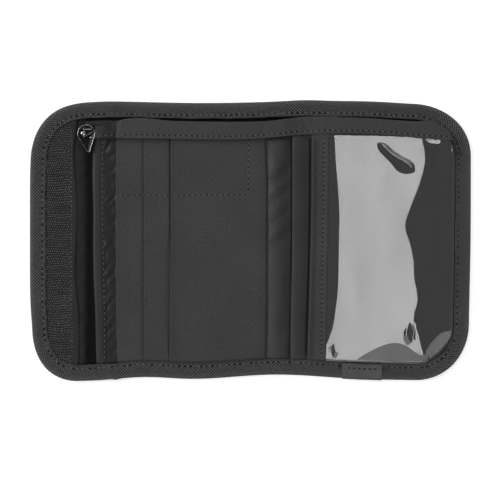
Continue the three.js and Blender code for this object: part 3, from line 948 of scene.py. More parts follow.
def slot_top(x, y):
    """Upper face of the top slot sheet at a place, whichever slot that is."""
    top = level(x, y, POUCH)
    for i, layer in enumerate(SLOT_LAYERS):
        own = level(x, y, layer) + slot_relief(i, x, y) + hem_thickness(x - SLOT_MOUTHS[i]) - SHEET
        top = np.where(x > SLOT_MOUTHS[i], own, top)
    return top + 0.12


def card_slot(i):
    """One slot's sheet, with a bowed mouth on the left and sewn down to the pouch on the right."""
    middle = SLOT_MOUTHS[i]
    xs = columns(middle, SLOT_SEAM, TUCK, 1.3, fine=(middle, *SLOT_MOUTHS[i + 1:i + 2]))
    x, y = grid(xs, top=POCKET_TOP, step=1.0)
    bow = curve(y, SLOT_BOWS[i])
    share = smooth((x - SLOT_SEAM + 16) / 16)
    x = x + bow * (1 - smooth((x - middle) / 14)) + (seam_x(y) - SLOT_SEAM) * share
    thick = hem_thickness(x - middle - bow)
    thick = thick * np.sqrt(np.clip((seam_x(y) - x + 0.02) / 0.2, 0.1, 1))
    z = level(x, y, SLOT_LAYERS[i]) + slot_relief(i, x, y) * field_share(x, y) + (thick - SHEET) / 2
    sewn = smooth((x - seam_x(y) + 5) / 4.6)
    z = z + (level(x, y, POUCH) + 0.22 * (i + 1) - z) * sewn
    piece = sheet_solid(f"card_slot_sheet_{i + 1}", x, y, z, thick, POCKET_CLOTH)
    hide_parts(f"card_slot_{i + 1}")
    bend_right(piece)


def card_slots():
    """Three slots, closed by an L-shaped line of stitching with a round corner."""
    for i in range(3):
        card_slot(i)
    corner = [(-5.6, 25.3), (-3.6, 25.6), (-2.0, 26.4), (-1.1, 28.0), (-0.9, 30.0), (-0.8, POCKET_TOP - 1.8)]
    path = [(SLOT_MOUTHS[0] + 0.8, 25.2), (-40, 25.2), *corner]
    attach(stitches("slot_stitches", path, slot_top, width=0.42, hole=0.6), "centre_panel")


def passport_relief(x, y):
    slope = 0.55 * smooth((x - PASSPORT_MOUTH - 1.0) / 9.0)
    groove = 0.6 * smooth((x - strip_mouth(y) + 1.5) / 0.9)
    pressed = 0.45 * smooth((y - 56.8) / 1.5)
    return 0.7 * bell(x - PASSPORT_MOUTH - 0.5, 1.6) - slope - groove - pressed + 0.03 * ripple(x, y, 20, 61)


def passport_mouth_x(y):
    return curve(y, [(-68, 22.3), (-40, 22.6), (-10, 23.2), (20, 23.4), (58, 23.4)])


def passport_pocket():
    """A pocket whose mouth is its bowed left edge, sewn in on the other sides."""
    middle = float(passport_mouth_x(np.array([0.0]))[0])
    xs = columns(middle, HALF_WIDTH, TUCK, 1.2, fine=(middle, STRIP_LEFT, STRIP_LEFT - 1))
    x, y = grid(xs, top=POCKET_TOP + 2.0, step=1.2)
    x = x + (passport_mouth_x(y) - middle) * (1 - smooth((x - middle) / 14))
    thick = hem_thickness(x - passport_mouth_x(y))
    z = level(x, y, FIRST) + passport_relief(x, y) * field_share(x, y) + (thick - SHEET) / 2
    piece = sheet_solid("passport_pocket_sheet", x, y, z, thick, PASSPORT_SHADE_CLOTH)
    # Right of the window strip the plain pocket cloth takes over from the passport cloth's painted shadow.
    second_material(piece, POCKET_CLOTH, lambda u, v: u > STRIP_LEFT + 4)
    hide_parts("passport_pocket")
    bend_right(piece)


def strip_mouth(y):
    return curve(y, [(-68, 31.6), (-50, 32.1), (-20, 33.0), (10, 33.7), (58, 34.0)])


def strip_end(y):
    return curve(y, [(-68, 41.9), (-40, 42.2), (0, 42.9), (40, 43.2), (58, 43.3)])


def strip_stitch_x(y):
    return curve(y, [(-68, 39.2), (-40, 39.5), (0, 40.2), (40, 40.6), (58, 40.6)])


def strip_height(x, y):
    """The strip swells along its edge over the mouth, and is pressed in along its seam."""
    left = x - strip_mouth(y)
    profile = 1.1 * bell(left - 0.6, 1.1) + 0.12 * bell(strip_end(y) - x - 0.9, 0.6)
    profile = profile - 0.16 * bell(x - strip_stitch_x(y), 0.55) - 0.14 * smooth((left - 2) / 3)
    profile = profile * smooth((57.2 - y) / 2.5) - 0.35 * smooth((y - 56.2) / 1.4)
    return level(x, y, THIRD) + profile * field_share(x, y, 5)


def window_strip():
    """Bias strip that frames the window's open side and holds the clear film."""
    edge = [0, 0.006, 0.014, 0.03, 0.055, 0.09]
    t = np.concatenate([edge, np.linspace(0.13, 0.9, 18), [0.94, 0.97, 0.985, 1]])
    ys = grid(np.array([38.0]), top=POCKET_TOP + 2.1, step=0.9)[1][0]
    y = np.repeat(ys[None], len(t), 0)
    x = strip_mouth(y) + (strip_end(y) - strip_mouth(y)) * t[:, None]
    distance = np.minimum(x - strip_mouth(y), strip_end(y) - x)
    thick = hem_thickness(distance, hem=20, folded=0.36)
    piece = sheet_solid("window_frame_binding", x, y, strip_height(x, y), thick, POCKET_CLOTH)
    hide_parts("window_frame_strip")
    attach(piece, "right_panel")
    ys = np.linspace(POCKET_TOP - 1.5, -65.5, 50)
    path = np.stack([strip_stitch_x(ys), ys], -1)
    height = lambda a, b: strip_height(a, b) + 0.16
    run = stitches("window_stitches", path, height, pitch=2.6, length=1.5, hole=0.75)
    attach(run, "right_panel")


# Clear film: it lies almost flat, and slopes of a few thousandths shape what it mirrors. Each curve says
# where its slope leaves the overhead panel's mirror image, which a flat film shows from X 46.4 to 93.8 and
# down to Y -62.
MIRROR_LEFT = 46.4
MIRROR_RIGHT = 93.8
MIRROR_LOW = -62.0
CAMERA_HEIGHT = 1300.0
CAMERA_Y = -5.07
PANEL_HEIGHT = 1000.0
MIRROR_GROWTH = 1 + PANEL_HEIGHT / CAMERA_HEIGHT
TILT = MIRROR_GROWTH / (2 * PANEL_HEIGHT)
FILM_RIGHT_EDGE = [
    (-66, 92.0), (-52, 91.0), (-43, 90.1), (-32, 92.3), (-20.5, 90.4), (-11.7, 90.1), (-1.8, 88.2),
    (8.7, 85.4), (18, 88.2), (30.8, 93.1), (44.5, 96.4), (57, 94.8),
]
FILM_LEFT_EDGE = [
    (-66, 38.0), (-58, 41.9), (-52, 44.6), (-43.7, 46.3), (-32.6, 47.9), (-5, 49.0), (22.5, 49.0),
    (41.8, 47.4), (57, 46.5),
]
FILM_LOW_EDGE = [
    (44, -70), (56.2, -66.3), (61.5, -63.5), (72.2, -58.0), (81.6, -56.1), (94.8, -62.4), (104, -66),
]
FILM_CORNER = [(96, -64), (98.4, -59.7), (101.9, -55), (105.5, -51.4), (110.8, -50.3), (116, -50)]
# Half width of the dent near the film's upper right corner, along its length
DENT_HALF_WIDTH = [
    (-13, 0.3), (-11.5, 1.7), (-9, 2.4), (-4, 2.5), (1, 2.9), (5, 3.7), (9, 3.5), (11.5, 2.2), (13, 0.3),
]
# Small oval dents: (middle, half sizes, slope in x)
OVAL_DENTS = [((88.2, -51.4), (3.0, 5.6), -0.06), ((45.9, -61.6), (2.0, 4.2), 0.05)]


def mirror_slopes(x, y):
    """Curves the film beyond three bend lines, so that the mirrored panel ends at the given edges."""
    right, left, low = curve(y, FILM_RIGHT_EDGE), curve(y, FILM_LEFT_EDGE), curve(x, FILM_LOW_EDGE)
    bend_right_x, bend_left_x, bend_low_y = 70.0, 62.0, -42.0
    z = -(MIRROR_RIGHT - right) / (right - bend_right_x) * np.maximum(x - bend_right_x, 0) ** 2
    z = z - (left - MIRROR_LEFT) / (bend_left_x - left) * np.maximum(bend_left_x - x, 0) ** 2
    z = z - (low - MIRROR_LOW) / (bend_low_y - low) * np.maximum(bend_low_y - y, 0) ** 2
    return z * TILT / 2


def long_dent(x, y):
    """A slanting dent that mirrors the dark room beside the panel."""
    along = (x - 79.8) * 0.77 - (y - 45.0) * 0.64
    across = (x - 79.8) * 0.64 + (y - 45.0) * 0.77
    half = curve(along, DENT_HALF_WIDTH)
    bowed = across - 0.0075 * (along**2 - 36)
    inside = smooth((half - np.abs(bowed)) / 0.5 + 0.5) * smooth((12.6 - np.abs(along)) / 0.8)
    return -0.055 * (bowed + half) * inside


def film_relief(x, y):
    z = mirror_slopes(x, y) + long_dent(x, y)
    for middle, half_size, slope in OVAL_DENTS:
        off = x - middle[0]
        spot = smooth((1 - np.hypot(off / half_size[0], (y - middle[1]) / half_size[1])) / 0.25)
        z = z + slope * off * spot
    z = z + 0.16 * np.maximum(1 - ((x - 107.5) / 10) ** 2 - ((y - 57.2) / 3.2) ** 2, 0)
    z = z - 0.08 * np.maximum(curve(x, FILM_CORNER) - y, 0) * smooth((x - 96.5) / 3)
    jag = bell(x - 94, 3.2) * bell(y + 50, 6)
    return z + 0.004 * ripple(x, y, 1.5, 71) * jag


def window_film():
    """Clear film over the passport pocket, tucked under the cover strip at its top."""
    x, y = grid(columns(FILM_LEFT, HALF_WIDTH, TUCK, 0.8), top=POCKET_TOP + 2.1, step=0.8)
    tucked = 0.35 * smooth((y - 58.6) / 0.8)
    z = level(x, y, SECOND, FIELD_INSET, 9.5) + film_relief(x, y) - tucked
    piece = sheet_solid("window_film_sheet", x, y, z, 0.16, VINYL)
    second_material(piece, VINYL_EDGE, lambda u, v: inset_of(u, v) < 10.0)
    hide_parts("window_film")
    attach(piece, "right_panel")


# Zip ---------------------------------------------------------------------------------------------------


COVER_EDGE = [
    (-86, 56.9), (-74, 56.7), (-40, 56.5), (7, 56.7), (22, 57.8), (45, 59.0), (80, 58.6), (100, 57.0),
    (114, 55.9),
]
COVER_TOP = [
    (-86, 63.2), (-80, 63.8), (-75.5, 65.2), (-71, 66.6), (-40, 66.6), (-10, 66.2), (5, 65.9), (12, 66.3),
    (30, 67.7), (60, 67.7), (90, 67.2), (114, 68.4),
]
COVER_SEAM = 0.2


def cover_field_z(x):
    """Height of the cover strip: high over the slider's travel, and down on the right panel."""
    high = COVER_HIGH[2] + 0.2
    return high + (COVER_RIGHT_Z - high) * smooth((x - RIGHT_FOLD - 1.5) / 14)


def cover_relief(x, t):
    """Relief of the strip at x, and t from its lower edge (0) to its upper one (1)."""
    droop = -0.12 * smooth((x + 4) / 12) * smooth((11 - x) / 4) * bell(t - 0.7, 0.3)
    step = 0.12 * bell(x - 10.2, 1.6) - 0.14 * bell(x - 7.8, 1.0)
    puckers = 0.4 * ripple(x, t * 9, 4.5, 82, 1.5, 0.3) * bell(x - 33, 8) * bell(t - 0.5, 0.4)
    sunk_end = -0.4 * smooth((-73.5 - x) / 3) * smooth(t / 0.5)
    ridge = 0.3 * bell(x + 79 + 6 * (t - 0.9), 1.2) * smooth(t)
    fold = -0.3 * bell(x + 74.2 - 2 * t, 0.7)
    groove = -0.26 * bell(t - COVER_SEAM, 0.06)
    return droop + step + puckers + sunk_end + ridge + fold + groove + 0.09 * ripple(x, t * 10, 12, 81)


def cover_place(x, t):
    low, high = curve(x, COVER_EDGE), curve(x, COVER_TOP)
    return low + (high - low) * t, cover_field_z(x) + cover_relief(x, t)


def cover_strip():
    """Folded band over the zip: a wall up from the divider, then the flat band down to its free edge."""
    stop = HALF_WIDTH - BINDING_WIDTH + 2.0
    xs = np.linspace(COVER_LOW[0] + 0.2, stop, 300)
    t = np.concatenate([[0, 0.012, 0.03, 0.06], np.linspace(0.1, 0.9, 15), [0.95, 0.98, 1.0]])
    x = np.repeat(xs[:, None], len(t), 1)
    y, z = cover_place(x, t[None])
    limit = edge_y(xs, BINDING_WIDTH - 1.5, 1)[:, None]
    y = np.minimum(y, limit)
    wall_t = np.array([0.25, 0.6, 0.9])
    foot = level(x[:, :1], y[:, -1:], DIVIDER) + 0.2
    wall_z = z[:, -1:] - 0.25 + (foot - z[:, -1:] + 0.25) * wall_t
    wall_y = y[:, -1:] + 0.25 * np.sin(wall_t * math.pi)
    x = np.concatenate([x, np.repeat(x[:, :1], 3, 1)], 1)
    y = np.concatenate([y, np.minimum(wall_y, limit + 0.4)], 1)
    z = np.concatenate([z, np.maximum(wall_z, foot)], 1)
    thick = hem_thickness(y - y[:, :1], hem=4.0, folded=0.42) * np.sqrt(np.clip((x - xs[0]) / 0.9, 0.1, 1))
    run = travel(np.stack([y[60], z[60]], -1))
    uv = np.stack([x, np.broadcast_to(run[None], x.shape)], -1)
    piece = sheet_solid("zip_cover_band", x, y, z, thick, POCKET_CLOTH, uv)
    # The strip's left end, left of x -73.9, takes the darker lip cloth as painted shade where the end turns
    # down; the lip cloth's painted shade band lies over it too.
    piece.data.materials.append(LIP_SHADE_CLOTH)
    for polygon in piece.data.polygons:
        polygon.material_index = int(polygon.center.x < -73.9 * MM)
    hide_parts("zip_cover_strip_centre", "zip_cover_strip_right")
    bend_right(piece)
    px = np.linspace(xs[0] + 1.2, stop - 3.5, 160)
    path = np.stack([px, cover_place(px, COVER_SEAM)[0]], -1)
    height = lambda a, b: cover_field_z(a) + cover_relief(a, COVER_SEAM) + 0.2
    bend_right(stitches("zip_cover_stitches", path, height, width=0.45, hole=0.8))


def zip_coil(name, sign):
    """One side's teeth: a wound monofilament."""
    steps = 10
    margin = 0.5
    length = COIL_END - COIL_LOW[0]
    turns = int(length / 1.02)
    a = np.arange(turns * steps + 1) * 2 * math.pi / steps
    x = COIL_LOW[0] + margin + a / (2 * math.pi) * (length - 2 * margin) / turns
    low, high = node_box(f"zip_coil_{name}_centre")
    y = (low[1] + high[1]) / 2 - sign * ((COIL_HIGH[1] - COIL_LOW[1]) / 2 - 0.1) * np.cos(a)
    z = ZIP_Z + ((COIL_HIGH[2] - COIL_LOW[2]) / 2 - 0.16) * np.sin(a)
    path = np.stack([x, y, z], -1)
    tangent = unit(np.gradient(path, axis=0))
    side = unit(np.cross(tangent, (1.0, 0, 0)))
    rings = rings_about(path, side, np.cross(side, tangent), 0.16, 5)
    uv = np.stack([np.broadcast_to(x[:, None], rings.shape[:2]), rings[..., 1]], -1)
    coil = tube_solid(f"zip_teeth_{name}", rings, COIL_NYLON, uv)
    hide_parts(f"zip_coil_{name}_centre", f"zip_coil_{name}_right")
    bend_right(coil)


def zip_parts():
    """Two coils as wound monofilament, and two herringbone tapes as one piece."""
    tapes, widths, replaced = [], [], []
    for name, sign in (("lower", -1), ("upper", 1)):
        zip_coil(name, sign)
        low, high = node_box(f"zip_tape_{name}_centre")
        xs = np.linspace(low[0], node_box(f"zip_tape_{name}_right")[1][0], 130)
        tx, ty = np.meshgrid(xs, np.linspace(low[1], high[1], 7), indexing="ij")
        ty = np.minimum(ty, edge_y(xs, BINDING_WIDTH, 1)[:, None] - 0.2)
        tz = np.full(tx.shape, ZIP_Z) + 0.03 * ripple(tx, ty, 8, 91)
        tapes.append(sheet_solid(f"zip_tape_cloth_{name}", tx, ty, tz, 0.2, ZIP_TAPE))
        widths.append(high[1] - low[1])
        replaced += [f"zip_tape_{name}_centre", f"zip_tape_{name}_right"]
    tape = join("zip_tape_cloth", tapes)
    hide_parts(*replaced)
    bend_right(tape)


def bevelled(piece, width, segments=2):
    """Rounds a hard piece's edges for good."""
    bevel = piece.modifiers.new("Bevel", "BEVEL")
    bevel.width = width * MM
    bevel.segments = segments
    bevel.limit_method = "ANGLE"
    bpy.context.view_layer.update()
    graph = bpy.context.evaluated_depsgraph_get()
    mesh = bpy.data.meshes.new_from_object(piece.evaluated_get(graph))
    piece.modifiers.clear()
    piece.data = mesh
    for polygon in mesh.polygons:
        polygon.use_smooth = True
    return piece


def plate(name, edge, z0, z1, material, hole=None):
    """A flat plate between two heights, from its outline, counterclockwise, and perhaps a hole's outline."""
    n = len(edge)
    loops = [edge] if hole is None else [edge, hole]
    points = [np.column_stack([line, np.full(n, z)]) for line in loops for z in (z0, z1)]
    side = [(i, (i + 1) % n) for i in range(n)]
    faces = [[i, j, n + j, n + i] for i, j in side]
    if hole is None:
        faces += [list(range(n - 1, -1, -1)), list(range(n, 2 * n))]
    else:
        faces += [[n + i, n + j, 3 * n + j, 3 * n + i] for i, j in side]
        faces += [[3 * n + i, 3 * n + j, 2 * n + j, 2 * n + i] for i, j in side]
        faces += [[2 * n + i, 2 * n + j, j, i] for i, j in side]
    points = np.concatenate(points)
    return make(name, points, faces, points[:, :2], material)


def slider_body():
    """Two shield plates with rims that hold the coils, joined by a post."""
    left, right = BODY_LOW[0], BODY_HIGH[0]
    low, high = BODY_LOW[2], BODY_HIGH[2]
    half_w = (BODY_HIGH[1] - BODY_LOW[1]) / 2
    shield = []
    for t in np.linspace(0, 1, 13):
        a = math.pi * (0.5 + t)
        shield.append((left + 2.4 + 2.4 * math.cos(a), ZIP_Y + half_w * 0.95 * math.sin(a)))
    blunt = ((-1.2, -0.8), (0, -0.55), (0, 0.55), (-1.2, 0.8))
    shield += [(right + dx, ZIP_Y + half_w * dy) for dx, dy in blunt]
    turn = np.linspace(0, 2 * math.pi, 12, endpoint=False)
    post = np.stack([left + 1.0 + 0.8 * np.cos(turn), ZIP_Y + 0.35 * np.sin(turn)], -1)
    parts = [
        bevelled(plate("slider_upper", shield, high - 0.4, high, DARK_METAL), 0.14),
        bevelled(plate("slider_lower", shield, low, low + 0.4, DARK_METAL), 0.14),
        plate("slider_post", post, low + 0.2, high - 0.2, DARK_METAL),
    ]
    for sign in (-1, 1):
        a, b = sorted((ZIP_Y + sign * (half_w - 0.5), ZIP_Y + sign * half_w * 0.93))
        box = [(left + 1.8, a), (right - 1.0, a), (right - 1.0, b), (left + 1.8, b)]
        for z0 in (high - 0.7, low + 0.2):
            parts.append(bevelled(plate("wall", box, z0, z0 + 0.5, DARK_METAL), 0.08))
    body = join("slider_shields", parts)
    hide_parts("zip_slider_body")
    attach(body, "zip_slider")


def slider_crown():
    """The arched bar that holds the puller."""
    cx = (BODY_LOW[0] + BODY_HIGH[0]) / 2
    bar_z = CROWN_HIGH[2] - 0.25
    foot_z = CROWN_LOW[2] - 0.1
    knots = [(cx + dx, ZIP_Y - dy, z) for dx, dy, z in (
        (2.5, 0.1, foot_z), (2.45, 0.1, bar_z - 0.5), (2.0, 0.15, bar_z), (0, 0.2, bar_z + 0.05),
        (-1.8, 0.2, bar_z), (-2.4, 0.15, bar_z - 0.5), (-2.5, 0.1, foot_z),
    )]
    s = np.linspace(0, len(knots) - 1, 40)
    path = np.stack([curve(s, [(i, knot[k]) for i, knot in enumerate(knots)]) for k in range(3)], -1)
    side = np.array([0, 1.0, 0])
    up = np.cross(unit(np.gradient(path, axis=0)), side)
    crown = tube_solid("slider_crown_arch", rings_about(path, side, up, 0.3, 10), GUNMETAL)
    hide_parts("zip_slider_crown")
    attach(crown, "zip_slider")


def puller_rim(drop, mid_z):
    """A thin raised rim along the drop's outline, closed on itself."""
    n, m = len(drop), 10
    tangent = unit(np.roll(drop, -1, 0) - np.roll(drop, 1, 0))
    outward = np.stack([tangent[:, 1], -tangent[:, 0]], -1)
    turn = np.arange(m) * 2 * math.pi / m
    rings = np.zeros((n, m, 3))
    rings[..., :2] = drop[:, None] + 0.24 * outward[:, None] * np.cos(turn)[None, :, None]
    rings[..., 2] = mid_z + 0.1 + 0.34 * np.sin(turn)
    last = (n - 1) * m
    faces = grid_faces(n, m, wrap=True).tolist()
    faces += [[last + j, j, (j + 1) % m, last + (j + 1) % m] for j in range(m)]
    points = rings.reshape(-1, 3)
    return make("puller_rim", points, faces, points[:, :2], GUNMETAL)


def puller_boss(x, y, z):
    """A flattened ball in the puller's broad end."""
    fall = np.linspace(0.02, math.pi - 0.02, 13)[:, None]
    around = (np.arange(16) * math.pi / 8)[None]
    ball = np.stack([
        x + 1.35 * np.sin(fall) * np.cos(around), y + 1.35 * np.sin(fall) * np.sin(around),
        z - 0.42 * np.cos(fall) + 0 * around,
    ], -1)
    return tube_solid("puller_boss", ball, GUNMETAL)


def puller_brace(start, stop, z):
    """A thin bar on the web, rounded at both ends."""
    t = np.linspace(0, 1, 8)
    direction = unit(stop - start)
    size = np.sqrt(1 - 0.9 * (2 * t - 1) ** 8) * 0.2
    path = np.column_stack([start + (stop - start) * t[:, None], np.full(8, z)])
    side, up = np.array([-direction[1], direction[0], 0]), np.array([0, 0, 1.0])
    rings = rings_about(path, side, up, size[:, None, None], 8)
    return tube_solid("brace", rings, GUNMETAL)


def join(name, pieces):
    """Joins pieces into one, under the first one's material slots."""
    bpy.ops.object.select_all(action="DESELECT")
    for piece in pieces:
        piece.select_set(True)
    bpy.context.view_layer.objects.active = pieces[0]
    bpy.ops.object.join()
    pieces[0].name = name
    return pieces[0]


def drop_outline(cx, cy, broad, tip_x, tip_y, tip, steps=20):
    """Outline of a drop: a broad arc and a tip arc, joined by straight sides, counterclockwise."""
    span = math.hypot(tip_x - cx, tip_y - cy)
    facing = math.atan2(tip_y - cy, tip_x - cx)
    slant = math.acos((broad - tip) / span)
    points = []
    for a in np.linspace(facing + slant, facing + 2 * math.pi - slant, steps * 2):
        points.append((cx + broad * math.cos(a), cy + broad * math.sin(a)))
    for a in np.linspace(facing - slant, facing + slant, steps):
        points.append((tip_x + tip * math.cos(a), tip_y + tip * math.sin(a)))
    return np.array(points)


def puller():
    """Drop-shaped puller: a thin raised rim, a dark plate with a slot round the crown, and a round boss."""
    cx = (BODY_LOW[0] + BODY_HIGH[0]) / 2
    low, high = node_box("zip_puller")
    mid_z = (low[2] + high[2]) / 2
    broad = (cx - 0.75, ZIP_Y - 2.5)
    tip = (cx + 0.5, low[1] + 1.1)
    rim = puller_rim(drop_outline(*broad, 4.7, *tip, 0.7), mid_z)
    edge = drop_outline(*broad, 4.65, *tip, 0.65)
    slot_x, slot_y = cx - 0.1, ZIP_Y - 0.05
    facing = np.arctan2(edge[:, 1] - slot_y, edge[:, 0] - slot_x)
    hole = np.stack([slot_x + 2.95 * np.cos(facing), slot_y + 0.85 * np.sin(facing)], -1)
    web_low, web_high = mid_z - 0.16, mid_z + 0.16
    web = bevelled(plate("puller_web", edge, web_low, web_high, DARK_METAL, hole), 0.05)
    boss = puller_boss(cx - 2.4, ZIP_Y - 2.5, mid_z + 0.18)
    pivot = np.array([cx, ZIP_Y])
    braces = [
        puller_brace(pivot + start, pivot + stop, web_high)
        for start, stop in (((-2.6, -4.6), (3.1, -1.4)), ((1.0, -5.2), (3.6, -3.0)))
    ]
    whole = join("puller_drop", [rim, web, boss, *braces])
    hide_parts("zip_puller")
    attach(whole, "puller")


def end_stop():
    low, high = node_box("zip_end_stop")
    points = [(low[0], low[1]), (high[0], low[1]), (high[0], high[1]), (low[0], high[1])]
    stop = bevelled(plate("zip_stop_clamp", points, low[2], high[2], GUNMETAL), 0.3, 3)
    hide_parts("zip_end_stop")
    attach(stop, "right_panel")


# Touch fastener ----------------------------------------------------------------------------------------


def hook_base_z(x, y):
    return HOOK_LOW[2] + 0.35 + 0.1 * ripple(x, y, 18, 95) - 0.5 * (1 - smooth((inset_of(x, y) - 6.5) / 4))


def fibres(name, path, lean, radius, count, material):
    """Many thin curved bodies along paths (number, points, 3), each in an upright plane turned by lean."""
    tangent = unit(np.gradient(path, axis=1))
    side = np.stack([-np.sin(lean), np.cos(lean), np.zeros(len(lean))], -1)[:, None, :] + 0 * tangent
    return many(name, rings_about(path, side, np.cross(tangent, side), radius, count), material)


def fibre_paths(x, y, lean, size, reach, heights):
    """Paths that leave the given places in the direction of lean, by reach times each one's size."""
    px = x[:, None] + np.cos(lean)[:, None] * reach * size[:, None]
    py = y[:, None] + np.sin(lean)[:, None] * reach * size[:, None]
    return np.stack([px, py, heights], -1)


# How far the hook tape's inner edge stands out, along its length
HOOK_EDGE = [
    (-68, 1.5), (-48, 1.9), (-38.7, 1.6), (-28.8, 0.6), (-17.8, -0.2), (-9, 0.1), (6, 0.7), (30.8, 0.4),
    (40, -0.5), (49.5, -1.1), (62, 0.6), (68, 0.7),
]


def hook_base():
    """Woven base with a smooth selvedge."""
    edge_x = HOOK_HIGH[0] + 0.2
    x, y = grid(columns(-HALF_WIDTH, edge_x, 5.5, 1.2, fine=(edge_x,)), inset=5.5, step=1.4)
    out = curve(y, HOOK_EDGE)
    x = x + (out - 0.2) * smooth((x + 104) / 7)
    thick = 0.45 * np.sqrt(np.clip((HOOK_HIGH[0] + out - x + 0.03) / 0.3, 0.05, 1))
    bulge = 0.22 * bell(x - HOOK_HIGH[0] + 1.3, 1.0)
    base = sheet_solid("hook_tape_base", x, y, hook_base_z(x, y) + bulge, thick, HOOK_TAPE)
    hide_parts("hook_strip")
    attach(base, "left_flap")


def hook_field():
    """Rows of small bent hooks."""
    row_pitch, hook_pitch = 1.36, 1.0
    places = []
    for k, row in enumerate(np.arange(MID_Y - 70, MID_Y + 70, row_pitch)):
        for hx in np.arange(-HALF_WIDTH + 8, HOOK_HIGH[0] - 2.6, hook_pitch):
            places.append((hx + 0.5 * (k % 2), row + 0.3 * math.sin(hx * 0.45 + k * 0.13)))
    places = np.array(places)
    places += rng.normal(0, 0.1, places.shape)
    places = places[inset_of(*places.T) > BINDING_WIDTH + 0.1]
    lean = rng.normal(0, 0.4, len(places)) + math.pi * (0.5 + (np.arange(len(places)) % 2))
    size = rng.uniform(0.75, 1.0, len(places))
    a = np.linspace(-0.2, 1.15 * math.pi, 8)
    reach = np.concatenate([[-0.12], 0.26 * (1 - np.cos(a)) - 0.2])
    lift = np.concatenate([[0.0], 0.55 + 0.3 * np.sin(a)])
    heights = (hook_base_z(*places.T) + 0.15)[:, None] + lift * size[:, None]
    radius = np.array([0.17, 0.16, 0.15, 0.15, 0.16, 0.17, 0.16, 0.13, 0.08])[:, None, None]
    path = fibre_paths(*settle(*places.T), lean, size, reach, heights)
    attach(fibres("hook_field", path, lean, radius, 5, HOOK_NYLON), "left_flap")


def hooks():
    hook_base()
    hook_field()
    ys = np.linspace(62, -62, 60)
    path = np.stack([np.full(60, HOOK_HIGH[0] - 1.9), ys], -1)
    height = lambda x, y: hook_base_z(x, y) + 0.25
    run = stitches("hook_stitches", path, height, pitch=2.6, length=1.5)
    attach(run, "left_flap")


def loop_base():
    x, y = np.meshgrid(
        np.linspace(LOOP_LOW[0], LOOP_HIGH[0], 14), np.linspace(LOOP_LOW[1], LOOP_HIGH[1], 80), indexing="ij",
    )
    inside = np.minimum(
        np.minimum(x - LOOP_LOW[0], LOOP_HIGH[0] - x), np.minimum(y - LOOP_LOW[1], LOOP_HIGH[1] - y),
    )
    thick = 0.4 * np.sqrt(np.clip((inside + 0.03) / 0.4, 0.05, 1))
    z = np.full(x.shape, LOOP_HIGH[2] - 0.28)
    base = sheet_solid("loop_patch_base", x, y, z, thick, LOOP_TAPE, moved=False)
    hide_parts("loop_patch")
    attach(base, "right_panel")


def loop_pile():
    """Fine loops, each a small arch turned at random."""
    pitch = 0.85
    gx, gy = np.meshgrid(
        np.arange(LOOP_LOW[0] + 1.4, LOOP_HIGH[0] - 1.2, pitch),
        np.arange(LOOP_LOW[1] + 1.4, LOOP_HIGH[1] - 1.2, pitch), indexing="ij",
    )
    places = np.stack([gx.ravel(), gy.ravel()], -1) + rng.normal(0, 0.16, (gx.size, 2))
    a = np.linspace(0, math.pi, 6)
    lean = rng.uniform(0, math.pi, len(places))
    size = rng.uniform(0.8, 1.25, len(places))
    drop = np.minimum(0.4 * np.sin(a) * size[:, None], 0.42)
    path = fibre_paths(*places.T, lean, size, 0.38 * np.cos(a), LOOP_HIGH[2] - 0.45 - drop)
    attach(fibres("loop_pile", path, lean, 0.055, 4, LOOP_TAPE), "right_panel")


def loops():
    """Patch of fine loops under the right panel, which the hooks grip when the wallet is shut."""
    loop_base()
    loop_pile()
    margin = 1.0
    left, low = LOOP_LOW[:2] + margin
    right, high = LOOP_HIGH[:2] - margin
    corners = [(left, low), (right, low), (right, high), (left, high), (left, low)]
    height = lambda x, y: np.full(len(x), LOOP_HIGH[2] - 0.48)
    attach(stitches("loop_stitches", corners, height, under=True, moved=False), "right_panel")


def tab_profile():
    """(y, height) round the folded webbing, from its lower end out and over to the upper one."""
    outer, inner = TAB_LOW[1], TAB_HIGH[1]
    top = TAB_HIGH[2] + 0.15
    profile = [(inner - back, top + rise) for back, rise in (
        (0, -0.15), (0.5, 0), (2.0, 0.03), (2.3, -0.05), (2.8, -0.02), (4.0, 0.08),
    )]
    profile.append((outer + 1.8, top + 0.05))
    for a in np.radians(np.linspace(80, -80, 9)):
        profile.append((outer + 1.1 - 0.9 * math.cos(a), top / 2 + 0.15 + (top / 2 - 0.05) * math.sin(a)))
    profile += [(outer + 2.4, 0.14), (outer + 5.0, 0.14), (inner, 0.14)]
    return np.array(profile)[::-1]


# Webbing tab -------------------------------------------------------------------------------------------


